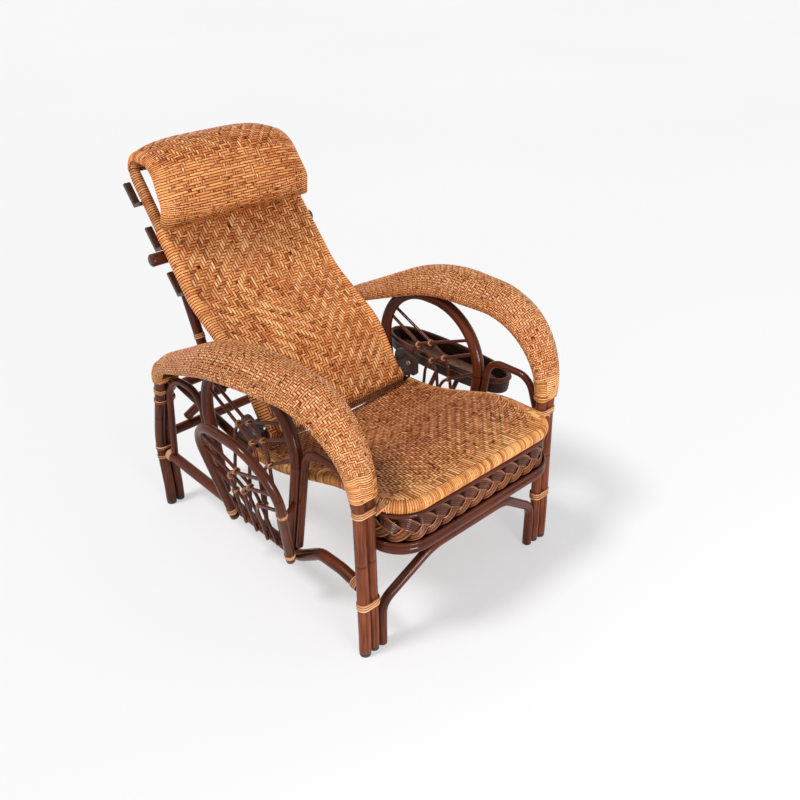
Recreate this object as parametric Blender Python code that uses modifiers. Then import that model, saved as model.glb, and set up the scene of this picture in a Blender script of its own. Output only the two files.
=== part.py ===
"""Folding rattan recliner: bent pole frame, woven arms, seat and back, a back that hinges at the seat
and a prop whose rod sits under one of three hooks behind the back.

Metres, +Z up. The chair faces -Y, and left and right are as seen from the front. It is laid out with the
front feet on y = 0, then moved so that the middle of its footprint is the origin.
"""

import math

import bmesh
import bpy
import numpy as np
from mathutils import Matrix, Vector

# Fits
GAP = 0.0003
BORE_PLAY = 0.0005
WEAVE = 0.003
WRAP_STEP = 36.0
EDGE_WRAP = 180
CHORD_TURN = 20.0
CHORD = 0.065
FOOT_CLEAR = 0.0004
PAST_CUT = 0.019

# Pole diameters
ARM_OUTER_D = 0.030
ARM_INNER_D = 0.026
RAIL_D = 0.030
WHEEL_D = 0.032
ARCH_D = 0.019
BRACE_D = 0.025
STICK_D = 0.009
FINE_D = 0.0115
SEAT_POLE_D = 0.024
STRETCHER_D = 0.028
APRON_TOP_D = 0.014
APRON_LOW_D = 0.028
STILE_D = 0.024
BACK_ROLL_D = 0.034
RACK_D = 0.024
SPACER_D = 0.012
TRAY_RIM_D = 0.015
STRUT_D = 0.014
PROP_LEG_D = 0.028
PROP_ROD_D = 0.034
AXLE_D = 0.022
PIN_D = 0.010

# Leg pairs and arms
LEG_X = 0.312
GLIDE_H = 0.008
GLIDE_IN = 0.001
ANKLE_Z = 0.060
REAR_FOOT_Y = 0.842
REAR_CALF_Y = 0.858
REAR_CALF_Z = 0.210
REAR_KNEE_Y = 0.814
REAR_KNEE_Z = 0.390
FRONT_KNEE_Y = 0.010
FRONT_KNEE_Z = 0.420
ARM_FRONT_Z = 0.645
ARM_TOP_Y = 0.400
ARM_TOP_Z = 0.635
ARM_REAR_Y = 0.772
ARM_REAR_Z = 0.482
ARM_OUTER_X = 0.412
ARM_INNER_X = 0.277
ARM_WEAVE_LOW_Z = 0.447
ARM_WEAVE_REAR_Z = 0.430
ARM_CROWN = 0.036
ARM_CROWN_SKEW = 0.80
ARM_FRONT_SPREAD = 0.40
ARM_REAR_SPREAD = 0.22
ARM_FRONT_R = 0.195
ARM_TOP_R = 0.500
ARM_REAR_R = 0.140
KNEE_R = 0.250

# Side frames
RAIL_REAR_Z = 0.165
RAIL_LOW_Y = 0.252
RAIL_LOW_Z = 0.140
RAIL_HUMP_Y = 0.165
RAIL_HUMP_RUN = 0.075
RAIL_BEND = 0.050
RAIL_HUMP_Z = 0.196
RAIL_FRONT_Z = 0.184
RAIL_FRONT_GAP = 0.0095
RAIL_REAR_GAP = 0.002
WHEEL_FRONT_Y = 0.2075
WHEEL_REAR_Y = 0.6325
WHEEL_TOP_Z = 0.587
WHEEL_LEAN = 0.165
WHEEL_FOOT_Z = 0.164
WHEEL_BEND = 0.168
ARCH_GAP = 0.0008
REAR_ARCH_Y = 0.786
REAR_ARCH_Z = 0.442
REAR_ARCH_SPLAY = 0.022
REAR_ARCH_STEP = 0.008
REAR_ARCH_R = 0.085
REAR_ARCH_FRONT_R = 0.060
FRONT_ARCH_FOOT_Z = 0.172
FRONT_ARCH_Y = 0.066
FRONT_ARCH_Z = 0.476
FRONT_ARCH_IN = 0.026
FRONT_ARCH_DROP = 0.028
FRONT_ARCH_R = 0.050

# Trellis sticks: heights on the rim and feet along the rail
STICK_LAYER = 0.003
STICK_KNEE = 0.47
STICK_BOW = 0.28
STICK_R = 0.070
WHEEL_FRONT_RIMS = np.linspace(0.545, 0.425, 3)
WHEEL_FRONT_FEET = np.linspace(0.525, 0.385, 3)
WHEEL_REAR_RIMS = np.linspace(0.560, 0.500, 2)
WHEEL_REAR_FEET = np.linspace(0.318, 0.378, 2)
RACK_RIMS = np.linspace(0.465, 0.335, 3)
RACK_FRONT_FEET = np.linspace(0.435, 0.345, 3)
RACK_REAR_FEET = np.linspace(0.312, 0.395, 3)

# Seat
SEAT_FRONT_Y = -0.056
SEAT_FRONT_Z = 0.405
SEAT_KNEE_Y = 0.120
SEAT_LOW_Y = 0.430
SEAT_LOW_Z = 0.306
SEAT_REAR_Z = 0.394
SEAT_LOW_R = 0.50
SEAT_KNEE_R = 0.30
SEAT_CORNER_R = 0.075
SEAT_WEAVE_REAR_Y = 0.461
SEAT_WEAVE_WRAP = 144
SEAT_SPINE_IN = 0.13
SEAT_SAG = 0.014
SEAT_PAST_LEG = 0.020
CROSS_RAIL_Y = 0.478
CROSS_RAIL_D = 0.020

# Apron and front brace
APRON_Y = -0.060
APRON_LOW_Z = 0.293
APRON_REAR_Y = 0.060
APRON_CORNER_R = 0.080
APRON_BED = 0.0016
BRAID_T = 0.006
BRACE_KNEE_Z = 0.125
BRACE_TOP_X = 0.130
BRACE_TOP_Y = -0.022
BRACE_TOP_Z = 0.228
BRACE_KNEE_R = 0.06
BRACE_TOP_R = 0.10

# Rear stretchers
REAR_LOW_Z = 0.220
REAR_HIGH_Y = 0.802
REAR_BRACE_FOOT_X = 0.235
REAR_BRACE_TOP_X = 0.110
REAR_BRACE_LIFT = 0.011
REAR_BRACE_R = 0.10

# Back and headrest, side profile. Headrest points are (up, to the rear) of the stile's top
BACK_X = 0.222
BACK_FOOT = (0.466, 0.362)
BACK_WAIST = (0.553, 0.500)
BACK_LUMBAR = (0.735, 0.612)
BACK_RISE = 50.4
BACK_LENGTH = 0.402
WAIST_R = 0.16
LUMBAR_R = 0.25
NAPE_R = 0.06
HEAD_REAR_TOP = (0.044, -0.006)
HEAD_FRONT_TOP = (-0.030, -0.092)
HEAD_FRONT = (-0.142, -0.0745)
HEAD_END_UP = -0.176
HEAD_REAR_R = 0.020
HEAD_TOP_R = 0.075
HEAD_FRONT_R = 0.030
HEAD_TAPER = 0.018
HEAD_CROWN = 0.030
HEAD_PUFF = 0.5
HEAD_WRAP = 108
HEAD_FULLNESS = 4
HEAD_SHARES = (0.08, 0.25, 0.5, 0.75, 0.92)
HEAD_CORE_UP = -0.042
HEAD_CORE_IN = 0.018
HEAD_WEAVE_UP = 0.005
BACK_WEAVE_UP = -0.170
HINGE_UP = 0.040

# Hooks behind the back, distances along the upper stile
HOOK_W = 0.020
HOOK_BAR = 0.006
HOOK_T = 0.010
HOOK_OUT = 0.030
HOOK_X = 0.226
HOOK_FEET = (0.055, 0.187, 0.317)
HOOK_TILT = 0.36
HOOK_REACH = 0.079
HOOK_END = 0.012
PHOTO_HOOK = 1

# Prop
PROP_PIVOT_Y = 0.735
PROP_X = 0.199
ROD_OVERHANG = 0.266
SLEEVE_WALL = 0.006
SLEEVE_HALF = 0.021

# Hinge plates
PLATE_T = 0.012
PLATE_NOSE_Y = 0.428
PLATE_FRONT_Y = 0.4665
PLATE_REAR_Y = 0.538
PLATE_TOP = 0.026
NOSE_EASE = 0.008
NOSE_TOP = 0.012
NOSE_LOW = 0.012
PIN_PROUD = 0.004

# Magazine rack on the left
RACK_LEAN = 0.265
RACK_FRONT_Y = 0.252
RACK_REAR_Y = 0.480
RACK_TOP_FRONT_Y = 0.162
RACK_TOP_REAR_Y = 0.494
RACK_TOP_Z = 0.490
RACK_FRONT_R = 0.120
RACK_REAR_R = 0.110
SPACER_Z = 0.310
SPACER_GAP = 0.002

# Tray on the right
TRAY_Y = 0.425
TRAY_X = 0.390
TRAY_LENGTH = 0.456
TRAY_WIDTH = 0.121
TRAY_LIP = 0.002
TRAY_FLARE = 0.009
TRAY_FLOOR_Z = 0.346
TRAY_DEPTH = 0.032
TRAY_WALL = 0.005
TRAY_ROUND = 0.8
TRAY_CHORDS = 24
STRUT_YS = (0.366, 0.446)
STRUT_KNEE = 0.060
STRUT_NEAR = -0.012
STRUT_FAR = 0.030
STRUT_LOW_R = 0.040
STRUT_TOP_R = 0.030

SIDES = (("left", -1), ("right", 1))
OUTER_LEG_X = LEG_X + (ARM_INNER_D + GAP) / 2
INNER_LEG_X = LEG_X - (ARM_OUTER_D + GAP) / 2
WRAP_FLAT = math.cos(math.radians(WRAP_STEP / 2))
LEG_FACE_X = INNER_LEG_X - ARM_INNER_D / 2
ARM_MIDDLE = np.array([0.0, ARM_TOP_Y, ARM_TOP_Z / 2])
SEAT_WRAP = (SEAT_POLE_D / 2 + GAP) / WRAP_FLAT
SEAT_X = LEG_FACE_X - GAP - (SEAT_WRAP + WEAVE) * WRAP_FLAT
SEAT_REAR_X = LEG_FACE_X - GAP - SEAT_POLE_D / 2
BRACE_X = LEG_FACE_X - GAP - BRACE_D / 2
APRON_TOP_Z = SEAT_FRONT_Z - SEAT_WRAP - WEAVE - GAP - APRON_TOP_D / 2

for old in list(bpy.data.objects):
    bpy.data.objects.remove(old)

chair = bpy.data.collections.new("folding_rattan_recliner")
helpers = bpy.data.collections.new("cutters")
bpy.context.scene.collection.children.link(chair)
bpy.context.scene.collection.children.link(helpers)
helpers.hide_render = True


def stuff(name, colour, rough, metal=0.0):
    made = bpy.data.materials.new(name)
    made.use_nodes = True
    shader = made.node_tree.nodes["Principled BSDF"]
    shader.inputs["Base Color"].default_value = (*colour, 1.0)
    shader.inputs["Roughness"].default_value = rough
    shader.inputs["Metallic"].default_value = metal
    return made


POLE = stuff("stained_rattan_pole", (0.090, 0.035, 0.020), 0.35)
CANE = stuff("woven_honey_cane", (0.480, 0.230, 0.080), 0.45)
BRAID = stuff("plaited_dark_strip", (0.130, 0.050, 0.026), 0.40)
TRAY = stuff("dark_woven_tray", (0.060, 0.035, 0.025), 0.55)
STEEL = stuff("blackened_steel", (0.070, 0.065, 0.060), 0.45, 1.0)
RUBBER = stuff("black_rubber", (0.020, 0.020, 0.022), 0.70)


def bend(corners, radii, counts=None):
    """A pole bent to a fair curve at each inner corner: straight runs joined by tangent arcs.

    counts gives the number of chords in each arc, for poles whose points have to pair up.
    """
    points = [np.array(c, float) for c in corners]
    path = [points[0]]
    counts = counts or [0] * len(radii)
    for before, corner, after, radius, count in zip(points, points[1:], points[2:], radii, counts):
        back = (before - corner) / np.linalg.norm(before - corner)
        on = (after - corner) / np.linalg.norm(after - corner)
        inside = math.acos(max(-1.0, min(1.0, float(back @ on))))
        turn = math.pi - inside
        middle = corner + (back + on) / np.linalg.norm(back + on) * radius / math.sin(inside / 2)
        start = corner + back * radius / math.tan(inside / 2) - middle
        end = corner + on * radius / math.tan(inside / 2) - middle
        needed = max(turn / math.radians(CHORD_TURN), turn * radius / CHORD)
        steps = count or max(2, math.ceil(needed))
        for f in np.linspace(0.0, 1.0, steps + 1):
            spoke = math.sin((1 - f) * turn) * start + math.sin(f * turn) * end
            path.append(middle + spoke / math.sin(turn))
    path.append(points[-1])
    return np.array(path)


def along(path):
    return np.concatenate([[0.0], np.cumsum(np.linalg.norm(np.diff(path, axis=0), axis=1))])


def resample(path, count):
    run = along(path)
    at = np.linspace(0.0, run[-1], count)
    return np.column_stack([np.interp(at, run, path[:, k]) for k in range(3)])


def between(path, first, last):
    """The run of a path from one fractional point number to another."""
    at = np.concatenate([[first], np.arange(math.floor(first) + 1, math.ceil(last)), [last]])
    return np.column_stack([np.interp(at, np.arange(len(path)), path[:, k]) for k in range(3)])


def crossing(values, level, last=False):
    """The fractional point number at which values first, or last, passes a level."""
    sides = np.sign(np.asarray(values) - level)
    steps = np.nonzero(sides[:-1] != sides[1:])[0]
    k = int(steps[-1 if last else 0])
    return k + (level - values[k]) / (values[k + 1] - values[k])


def on_path(path, point):
    """The point of a path nearest to the given one."""
    fine = resample(path, 600)
    return fine[np.argmin(np.linalg.norm(fine - np.asarray(point), axis=1))]


def bowed(rim, foot, face):
    """A trellis stick from the rim to its foot, bowed upwards in the plane that faces the given way."""
    rim = np.asarray(rim)
    chord = np.asarray(foot) - rim
    up = np.cross(face, chord) / np.linalg.norm(face)
    up *= np.sign(up[2])
    return bend([rim, rim + STICK_KNEE * chord + STICK_BOW * up, foot], [STICK_R])


def place(obj, material, group=None):
    for held in list(obj.users_collection):
        held.objects.unlink(obj)
    (group or chair).objects.link(obj)
    obj.data.materials.clear()
    obj.data.materials.append(material)
    return obj


def pole(name, path, diameter, material=None, loop=False, group=None, roundness=None):
    data = bpy.data.curves.new(name, "CURVE")
    data.dimensions = "3D"
    data.bevel_depth = diameter / 2
    data.bevel_resolution = roundness or (1 if diameter < FINE_D else 2)
    data.use_fill_caps = True
    run = data.splines.new("POLY")
    run.points.add(len(path) - 1)
    for point, place_at in zip(run.points, path):
        point.co = (*place_at, 1.0)
    run.use_cyclic_u = loop
    return place(bpy.data.objects.new(name, data), material or POLE, group)


def meshed(obj):
    """Turns a curve into a mesh object of the same name, ready for a Boolean."""
    bpy.context.view_layer.update()
    graph = bpy.context.evaluated_depsgraph_get()
    data = bpy.data.meshes.new_from_object(obj.evaluated_get(graph))
    name, group, material = obj.name, obj.users_collection[0], obj.data.materials[0]
    data.transform(obj.matrix_world)
    bpy.data.objects.remove(obj)
    shape = bmesh.new()
    shape.from_mesh(data)
    bmesh.ops.remove_doubles(shape, verts=shape.verts, dist=1e-6)
    bmesh.ops.recalc_face_normals(shape, faces=shape.faces)
    shape.to_mesh(data)
    shape.free()
    data.name = name
    return place(bpy.data.objects.new(name, data), material, group)


def plate(name, outline, thickness, middle, upright, material):
    """A flat piece: a filled outline given thickness. Upright plates lie in YZ, the others in XY."""
    data = bpy.data.curves.new(name, "CURVE")
    data.dimensions = "2D"
    data.fill_mode = "BOTH"
    data.extrude = thickness / 2
    run = data.splines.new("POLY")
    run.points.add(len(outline) - 1)
    for point, (a, b) in zip(run.points, outline):
        point.co = (a, b, 0.0, 1.0)
    run.use_cyclic_u = True
    obj = place(bpy.data.objects.new(name, data), material)
    if upright:
        obj.matrix_world = Matrix(((0, 0, 1, middle), (1, 0, 0, 0), (0, 1, 0, 0), (0, 0, 0, 1)))
    else:
        obj.matrix_world = Matrix.Translation((0, 0, middle))
    return meshed(obj)


def cutter(obj):
    obj.display_type = "WIRE"
    obj.hide_render = True
    return obj


def boolean(obj, other, kind):
    step = obj.modifiers.new(f"{kind.lower()}_{other.name}", "BOOLEAN")
    step.operation = kind
    step.solver = "EXACT"
    step.object = cutter(other)


def shell(name, outer, inner, material, open_far_edge=False):
    """A closed sheet from two matching grids of points, its upper and its under side, with the rims closed.

    With open_far_edge the last column meets itself across the middle of the piece and is stitched there.
    """
    rows, columns = outer.shape[:2]
    points = np.concatenate([outer.reshape(-1, 3), inner.reshape(-1, 3)])
    top = np.arange(rows * columns).reshape(rows, columns)
    under = top + rows * columns
    faces = []
    for grid, flip in ((top, False), (under, True)):
        quads = np.stack([grid[:-1, :-1], grid[1:, :-1], grid[1:, 1:], grid[:-1, 1:]], axis=-1).reshape(-1, 4)
        faces += (quads[:, ::-1] if flip else quads).tolist()
    rims = [(top[:, 0], under[:, 0]), (top[0, :], under[0, :]), (top[-1, :], under[-1, :])]
    if not open_far_edge:
        rims.append((top[:, -1], under[:, -1]))
    for a, b in rims:
        faces += np.stack([a[:-1], a[1:], b[1:], b[:-1]], axis=-1).tolist()
    data = bpy.data.meshes.new(name)
    data.from_pydata(points.tolist(), [], faces)
    shape = bmesh.new()
    shape.from_mesh(data)
    bmesh.ops.remove_doubles(shape, verts=shape.verts, dist=1e-6)
    bmesh.ops.dissolve_degenerate(shape, edges=shape.edges, dist=1e-6)
    bmesh.ops.recalc_face_normals(shape, faces=shape.faces)
    shape.to_mesh(data)
    shape.free()
    return place(bpy.data.objects.new(name, data), material)


def unit(vectors):
    return vectors / np.linalg.norm(vectors, axis=-1, keepdims=True)


def wrap_radius(diameter):
    """Inside radius of weave bent round a pole, so that its flats clear the pole."""
    return (diameter / 2 + GAP) / math.cos(math.radians(WRAP_STEP / 2))


def directions(path):
    """Direction at each point of a path, halfway between the two runs that meet there."""
    runs = unit(np.diff(path, axis=0))
    return unit(np.concatenate([runs[:1], runs[:-1] + runs[1:], runs[-1:]]))


def saddle(name, a, b, diameter_a, diameter_b, crown, up, wrap, shares=(0.25, 0.5, 0.75), power=2):
    """Weave laid over two poles: round pole a from underneath, across the crown and round pole b.

    Each row is an arc square to pole a, a low arch between the two tops and an arc square to pole b. The arch
    has points at the given shares of its span, and a higher power makes it fuller near its ends.
    """
    turn = np.radians(np.arange(wrap, -1, -WRAP_STEP))
    sides = []
    for path, diameter, sign in ((a, diameter_a, -1), (b, diameter_b, 1)):
        run = directions(path)
        across = b - a
        across = unit(across - np.sum(across * run, axis=1, keepdims=True) * run)
        top = np.cross(across, run)
        top *= np.sign(np.sum(top * up(path), axis=1, keepdims=True))
        sides.append((path, wrap_radius(diameter), sign * across, top))
    rise = crown(along(a) / along(a)[-1])[:, None]

    def skin(extra):
        halves = []
        for path, inside, outward, top in sides:
            radius = inside + extra
            halves.append([path + radius * (math.cos(t) * top + math.sin(t) * outward) for t in turn])
        first, last = halves[0][-1], halves[1][-1]
        top = sides[0][3]
        middle = [first + (last - first) * f + top * rise * (1 - abs(2 * f - 1) ** power) for f in shares]
        return np.stack(halves[0] + middle + halves[1][::-1], axis=1)

    return shell(name, skin(WEAVE), skin(0.0), CANE)


def front_leg_y(z):
    return FRONT_KNEE_Y * (z - ANKLE_Z) / (FRONT_KNEE_Z - ANKLE_Z)


def rear_leg_y(z):
    return float(np.interp(z, (ANKLE_Z, REAR_CALF_Z, REAR_KNEE_Z), (REAR_FOOT_Y, REAR_CALF_Y, REAR_KNEE_Y)))


def rail_height(y):
    """Middle height of a lower side rail behind its front hump."""
    slope = (RAIL_REAR_Z - RAIL_LOW_Z) / (REAR_FOOT_Y - RAIL_LOW_Y)
    return RAIL_LOW_Z + slope * (y - RAIL_LOW_Y)


def foot_height(y, diameter):
    """Height of a pole's sawn foot standing on the rail, clear of the rail's slope."""
    slope = (RAIL_REAR_Z - RAIL_LOW_Z) / (REAR_FOOT_Y - RAIL_LOW_Y)
    return rail_height(y) + RAIL_D / 2 + GAP + slope * diameter / 2 + FOOT_CLEAR


def wheel_front(z):
    return WHEEL_FRONT_Y + WHEEL_LEAN * (WHEEL_TOP_Z - z)


def wheel_rear(z):
    return WHEEL_REAR_Y - WHEEL_LEAN * (WHEEL_TOP_Z - z)


# Arms: two bent poles a side, side by side at the legs and spread along the arm
ARM_PATHS = {}
for side, sign in SIDES:
    for ring, leg_x, arm_x, diameter in (
        ("outer", OUTER_LEG_X, ARM_OUTER_X, ARM_OUTER_D),
        ("inner", INNER_LEG_X, ARM_INNER_X, ARM_INNER_D),
    ):
        front_x = leg_x + (arm_x - leg_x) * ARM_FRONT_SPREAD
        rear_x = leg_x + (arm_x - leg_x) * ARM_REAR_SPREAD
        path = bend(
            [
                (sign * leg_x, 0.0, GLIDE_H + GAP),
                (sign * leg_x, 0.0, ANKLE_Z),
                (sign * leg_x, FRONT_KNEE_Y, FRONT_KNEE_Z),
                (sign * front_x, FRONT_KNEE_Y, ARM_FRONT_Z),
                (sign * arm_x, ARM_TOP_Y, ARM_TOP_Z),
                (sign * rear_x, ARM_REAR_Y, ARM_REAR_Z),
                (sign * leg_x, REAR_KNEE_Y, REAR_KNEE_Z),
                (sign * leg_x, REAR_CALF_Y, REAR_CALF_Z),
                (sign * leg_x, REAR_FOOT_Y, ANKLE_Z),
                (sign * leg_x, REAR_FOOT_Y, GLIDE_H + GAP),
            ],
            [KNEE_R, KNEE_R, ARM_FRONT_R, ARM_TOP_R, ARM_REAR_R, KNEE_R, KNEE_R, KNEE_R],
            [1, 2, 6, 5, 5, 2, 3, 1],
        )
        ARM_PATHS[side, ring] = path
        pole(f"arm_pole_{ring}_{side}", path, diameter)
        for end, spot in (("front", path[0]), ("rear", path[-1])):
            foot = np.array([(*spot[:2], 0.0), (*spot[:2], GLIDE_H)])
            pole(f"glide_{end}_{ring}_{side}", foot, diameter - 2 * GLIDE_IN, RUBBER)

    outer = ARM_PATHS[side, "outer"]
    first = crossing(outer[:, 2], ARM_WEAVE_LOW_Z)
    last = crossing(outer[:, 2], ARM_WEAVE_REAR_Z, last=True)
    saddle(
        f"arm_weave_{side}",
        between(ARM_PATHS[side, "inner"], first, last),
        between(outer, first, last),
        ARM_INNER_D,
        ARM_OUTER_D,
        lambda f: ARM_CROWN * np.sin(math.pi * f**ARM_CROWN_SKEW),
        lambda path: path * (0, 1, 1) - ARM_MIDDLE,
        EDGE_WRAP,
    )

# Side frames: lower rail, wheel hoop with its trellis, and the two arches that fill the corners
for side, sign in SIDES:
    x = sign * LEG_X
    front_stop = front_leg_y(RAIL_FRONT_Z) + RAIL_D / 2 + RAIL_FRONT_GAP
    rear_stop = rear_leg_y(RAIL_REAR_Z) - RAIL_D / 2 - RAIL_REAR_GAP
    pole(
        f"side_rail_{side}",
        bend(
            [
                (x, rear_stop, rail_height(rear_stop)),
                (x, RAIL_LOW_Y, RAIL_LOW_Z),
                (x, RAIL_HUMP_Y, RAIL_HUMP_Z),
                (x, RAIL_HUMP_Y - RAIL_HUMP_RUN, RAIL_HUMP_Z),
                (x, front_stop, RAIL_FRONT_Z),
            ],
            [RAIL_BEND, RAIL_BEND, RAIL_BEND],
        ),
        RAIL_D,
    )
    front_foot = wheel_front(WHEEL_FOOT_Z)
    rear_foot = wheel_rear(WHEEL_FOOT_Z)
    hoop = bend(
        [
            (x, front_foot, foot_height(front_foot, WHEEL_D) + WHEEL_LEAN * WHEEL_D / 2),
            (x, WHEEL_FRONT_Y, WHEEL_TOP_Z),
            (x, WHEEL_REAR_Y, WHEEL_TOP_Z),
            (x, rear_foot, foot_height(rear_foot, WHEEL_D) + WHEEL_LEAN * WHEEL_D / 2),
        ],
        [WHEEL_BEND, WHEEL_BEND],
    )
    pole(f"wheel_hoop_{side}", hoop, WHEEL_D)
    sticks = []
    for edge, rims, feet, layer in (
        (wheel_front, WHEEL_FRONT_RIMS, WHEEL_FRONT_FEET, -STICK_LAYER),
        (wheel_rear, WHEEL_REAR_RIMS, WHEEL_REAR_FEET, STICK_LAYER),
    ):
        for rim_z, foot_y in zip(rims, feet):
            rim = on_path(hoop, (x, edge(rim_z), rim_z))
            foot = (x, foot_y, foot_height(foot_y, STICK_D))
            sticks.append(bowed(rim, foot, (1, 0, 0)) + (sign * layer, 0, 0))
    trellis = meshed(pole(f"wheel_trellis_{side}", sticks[0], STICK_D))
    for k, path in enumerate(sticks[1:]):
        boolean(trellis, meshed(pole(f"trellis_stick_{side}_{k}", path, STICK_D, group=helpers)), "UNION")
    hoop_cutter = meshed(pole(f"hoop_cutter_{side}", hoop, WHEEL_D + 2 * GAP, group=helpers))
    boolean(trellis, hoop_cutter, "DIFFERENCE")

    step = ((WHEEL_D + ARCH_D) / 2 + ARCH_GAP) * math.hypot(1.0, WHEEL_LEAN)
    foot_y = wheel_rear(WHEEL_FOOT_Z + REAR_ARCH_STEP) + step
    splay_y = REAR_ARCH_Y + REAR_ARCH_SPLAY
    pole(
        f"rear_arch_{side}",
        bend(
            [
                (x, splay_y, foot_height(splay_y, ARCH_D) + ARCH_GAP),
                (x, REAR_ARCH_Y, REAR_ARCH_Z),
                (x, wheel_rear(REAR_ARCH_Z) + step, REAR_ARCH_Z),
                (x, foot_y, foot_height(foot_y, ARCH_D) + WHEEL_LEAN * ARCH_D / 2),
            ],
            [REAR_ARCH_R, REAR_ARCH_FRONT_R],
        ),
        ARCH_D,
    )
    foot_y = wheel_front(FRONT_ARCH_FOOT_Z) - step
    pole(
        f"front_arch_{side}",
        bend(
            [
                (x, FRONT_KNEE_Y + FRONT_ARCH_IN, FRONT_KNEE_Z - FRONT_ARCH_DROP),
                (x, FRONT_ARCH_Y, FRONT_ARCH_Z),
                (x, wheel_front(FRONT_ARCH_Z) - step, FRONT_ARCH_Z),
                (x, foot_y, FRONT_ARCH_FOOT_Z),
            ],
            [FRONT_ARCH_R, FRONT_ARCH_R],
        ),
        ARCH_D,
    )

# Seat: one pole bent round the front and dished along the sides, a cross rail, the woven seat
half_front = [
    (SEAT_REAR_X, REAR_KNEE_Y + SEAT_PAST_LEG, SEAT_REAR_Z),
    (SEAT_X, SEAT_LOW_Y, SEAT_LOW_Z),
    (SEAT_X, SEAT_KNEE_Y, SEAT_FRONT_Z),
    (SEAT_X, SEAT_FRONT_Y, SEAT_FRONT_Z),
]
seat_path = bend(
    half_front + [(-px, py, pz) for px, py, pz in reversed(half_front)],
    [SEAT_LOW_R, SEAT_KNEE_R, SEAT_CORNER_R, SEAT_CORNER_R, SEAT_KNEE_R, SEAT_LOW_R],
)
pole("seat_pole", seat_path, SEAT_POLE_D)


def seat_side(y):
    """Middle of the seat pole's side run at a given y: its x on the right and its height."""
    side_run = seat_path[: len(seat_path) // 2]
    straight = side_run[side_run[:, 0] > SEAT_X - 0.001][::-1]
    return np.interp(y, straight[:, 1], straight[:, 0]), np.interp(y, straight[:, 1], straight[:, 2])


def seat_pole_height(y):
    return float(seat_side(y)[1])


def cross_pole(name, y, diameter):
    """A straight pole across the chair, cut to fit between the two side runs of the seat pole."""
    x, z = seat_side(y)
    end = x - SEAT_POLE_D / 2 - GAP
    return pole(name, np.array([(-end, y, z), (end, y, z)]), diameter)


cross_pole("seat_cross_rail", CROSS_RAIL_Y, CROSS_RAIL_D)

woven = between(
    seat_path,
    crossing(seat_path[:, 1], SEAT_WEAVE_REAR_Y),
    crossing(seat_path[:, 1], SEAT_WEAVE_REAR_Y, last=True),
)
run = directions(woven)
flat = unit(run * (1, 1, 0))
out = np.column_stack([-flat[:, 1], flat[:, 0], 0 * flat[:, 0]])
out *= np.sign(np.sum(out * (woven - (0, SEAT_WEAVE_REAR_Y / 2, 0)), axis=1, keepdims=True))
top = np.cross(out, run)
top *= np.sign(top[:, 2:])
spine_y = np.maximum(woven[:, 1], SEAT_FRONT_Y + SEAT_SPINE_IN)
spine = np.column_stack([0 * spine_y, spine_y, [seat_pole_height(y) for y in spine_y]])


def seat_skin(extra):
    radius = SEAT_WRAP + extra
    turn = np.radians(np.arange(SEAT_WEAVE_WRAP, -1, -WRAP_STEP))
    columns = [woven + radius * (math.cos(t) * top + math.sin(t) * out) for t in turn]
    edge = columns[-1]
    middle = spine + (0, 0, radius)
    for f in (0.2, 0.4, 0.6, 0.8, 1.0):
        columns.append(edge + (middle - edge) * f - (0, 0, SEAT_SAG * math.sin(f * math.pi / 2)))
    return np.stack(columns, axis=1)


shell("seat_weave", seat_skin(WEAVE), seat_skin(0.0), CANE, open_far_edge=True)

# Apron: two bent rails with a plaited band between them
apron_x = LEG_FACE_X - GAP - APRON_LOW_D / 2 + APRON_BED
for name, height, diameter in (("top", APRON_TOP_Z, APRON_TOP_D), ("low", APRON_LOW_Z, APRON_LOW_D)):
    corners = [(apron_x, APRON_REAR_Y, height), (apron_x, APRON_Y, height)]
    corners += [(-px, py, pz) for px, py, pz in reversed(corners)]
    apron_path = bend(corners, [APRON_CORNER_R, APRON_CORNER_R])
    pole(f"apron_rail_{name}", apron_path, diameter)
run = unit(np.gradient(apron_path, axis=0))
out = np.column_stack([run[:, 1], -run[:, 0]])
outside = apron_path[:, :2] + out * BRAID_T / 2
inside = apron_path[:, :2] - out * BRAID_T / 2
outline = np.concatenate([outside, inside[::-1]])
braid_top = APRON_TOP_Z - APRON_TOP_D / 2 - GAP
braid_low = APRON_LOW_Z + APRON_LOW_D / 2 + GAP
plate("apron_braid", outline, braid_top - braid_low, (braid_top + braid_low) / 2, False, BRAID)

half_brace = [
    (BRACE_X, 0.0, 0.0),
    (BRACE_X, 0.0, BRACE_KNEE_Z),
    (BRACE_TOP_X, BRACE_TOP_Y, BRACE_TOP_Z),
]
pole(
    "front_brace",
    bend(
        half_brace + [(-px, py, pz) for px, py, pz in reversed(half_brace)],
        [BRACE_KNEE_R, BRACE_TOP_R, BRACE_TOP_R, BRACE_KNEE_R],
    ),
    BRACE_D,
)

# Rear stretchers between the legs
leg_y = rear_leg_y(REAR_LOW_Z)
low_ends = LEG_FACE_X - 2 * GAP
pole(
    "rear_stretcher_low",
    np.array([(-low_ends, leg_y, REAR_LOW_Z), (low_ends, leg_y, REAR_LOW_Z)]),
    STRETCHER_D,
)
high_z = seat_pole_height(REAR_HIGH_Y)
cross_pole("rear_stretcher_high", REAR_HIGH_Y, STRETCHER_D)
arch_rise = high_z - STRETCHER_D / 2 - BRACE_D / 2 - GAP
half_arch = [
    (REAR_BRACE_FOOT_X, leg_y, REAR_LOW_Z + STRETCHER_D / 2 + REAR_BRACE_LIFT),
    (REAR_BRACE_TOP_X, REAR_HIGH_Y, arch_rise),
]
pole(
    "rear_brace",
    bend(half_arch + [(-px, py, pz) for px, py, pz in reversed(half_arch)], [REAR_BRACE_R, REAR_BRACE_R]),
    BRACE_D,
)

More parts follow.
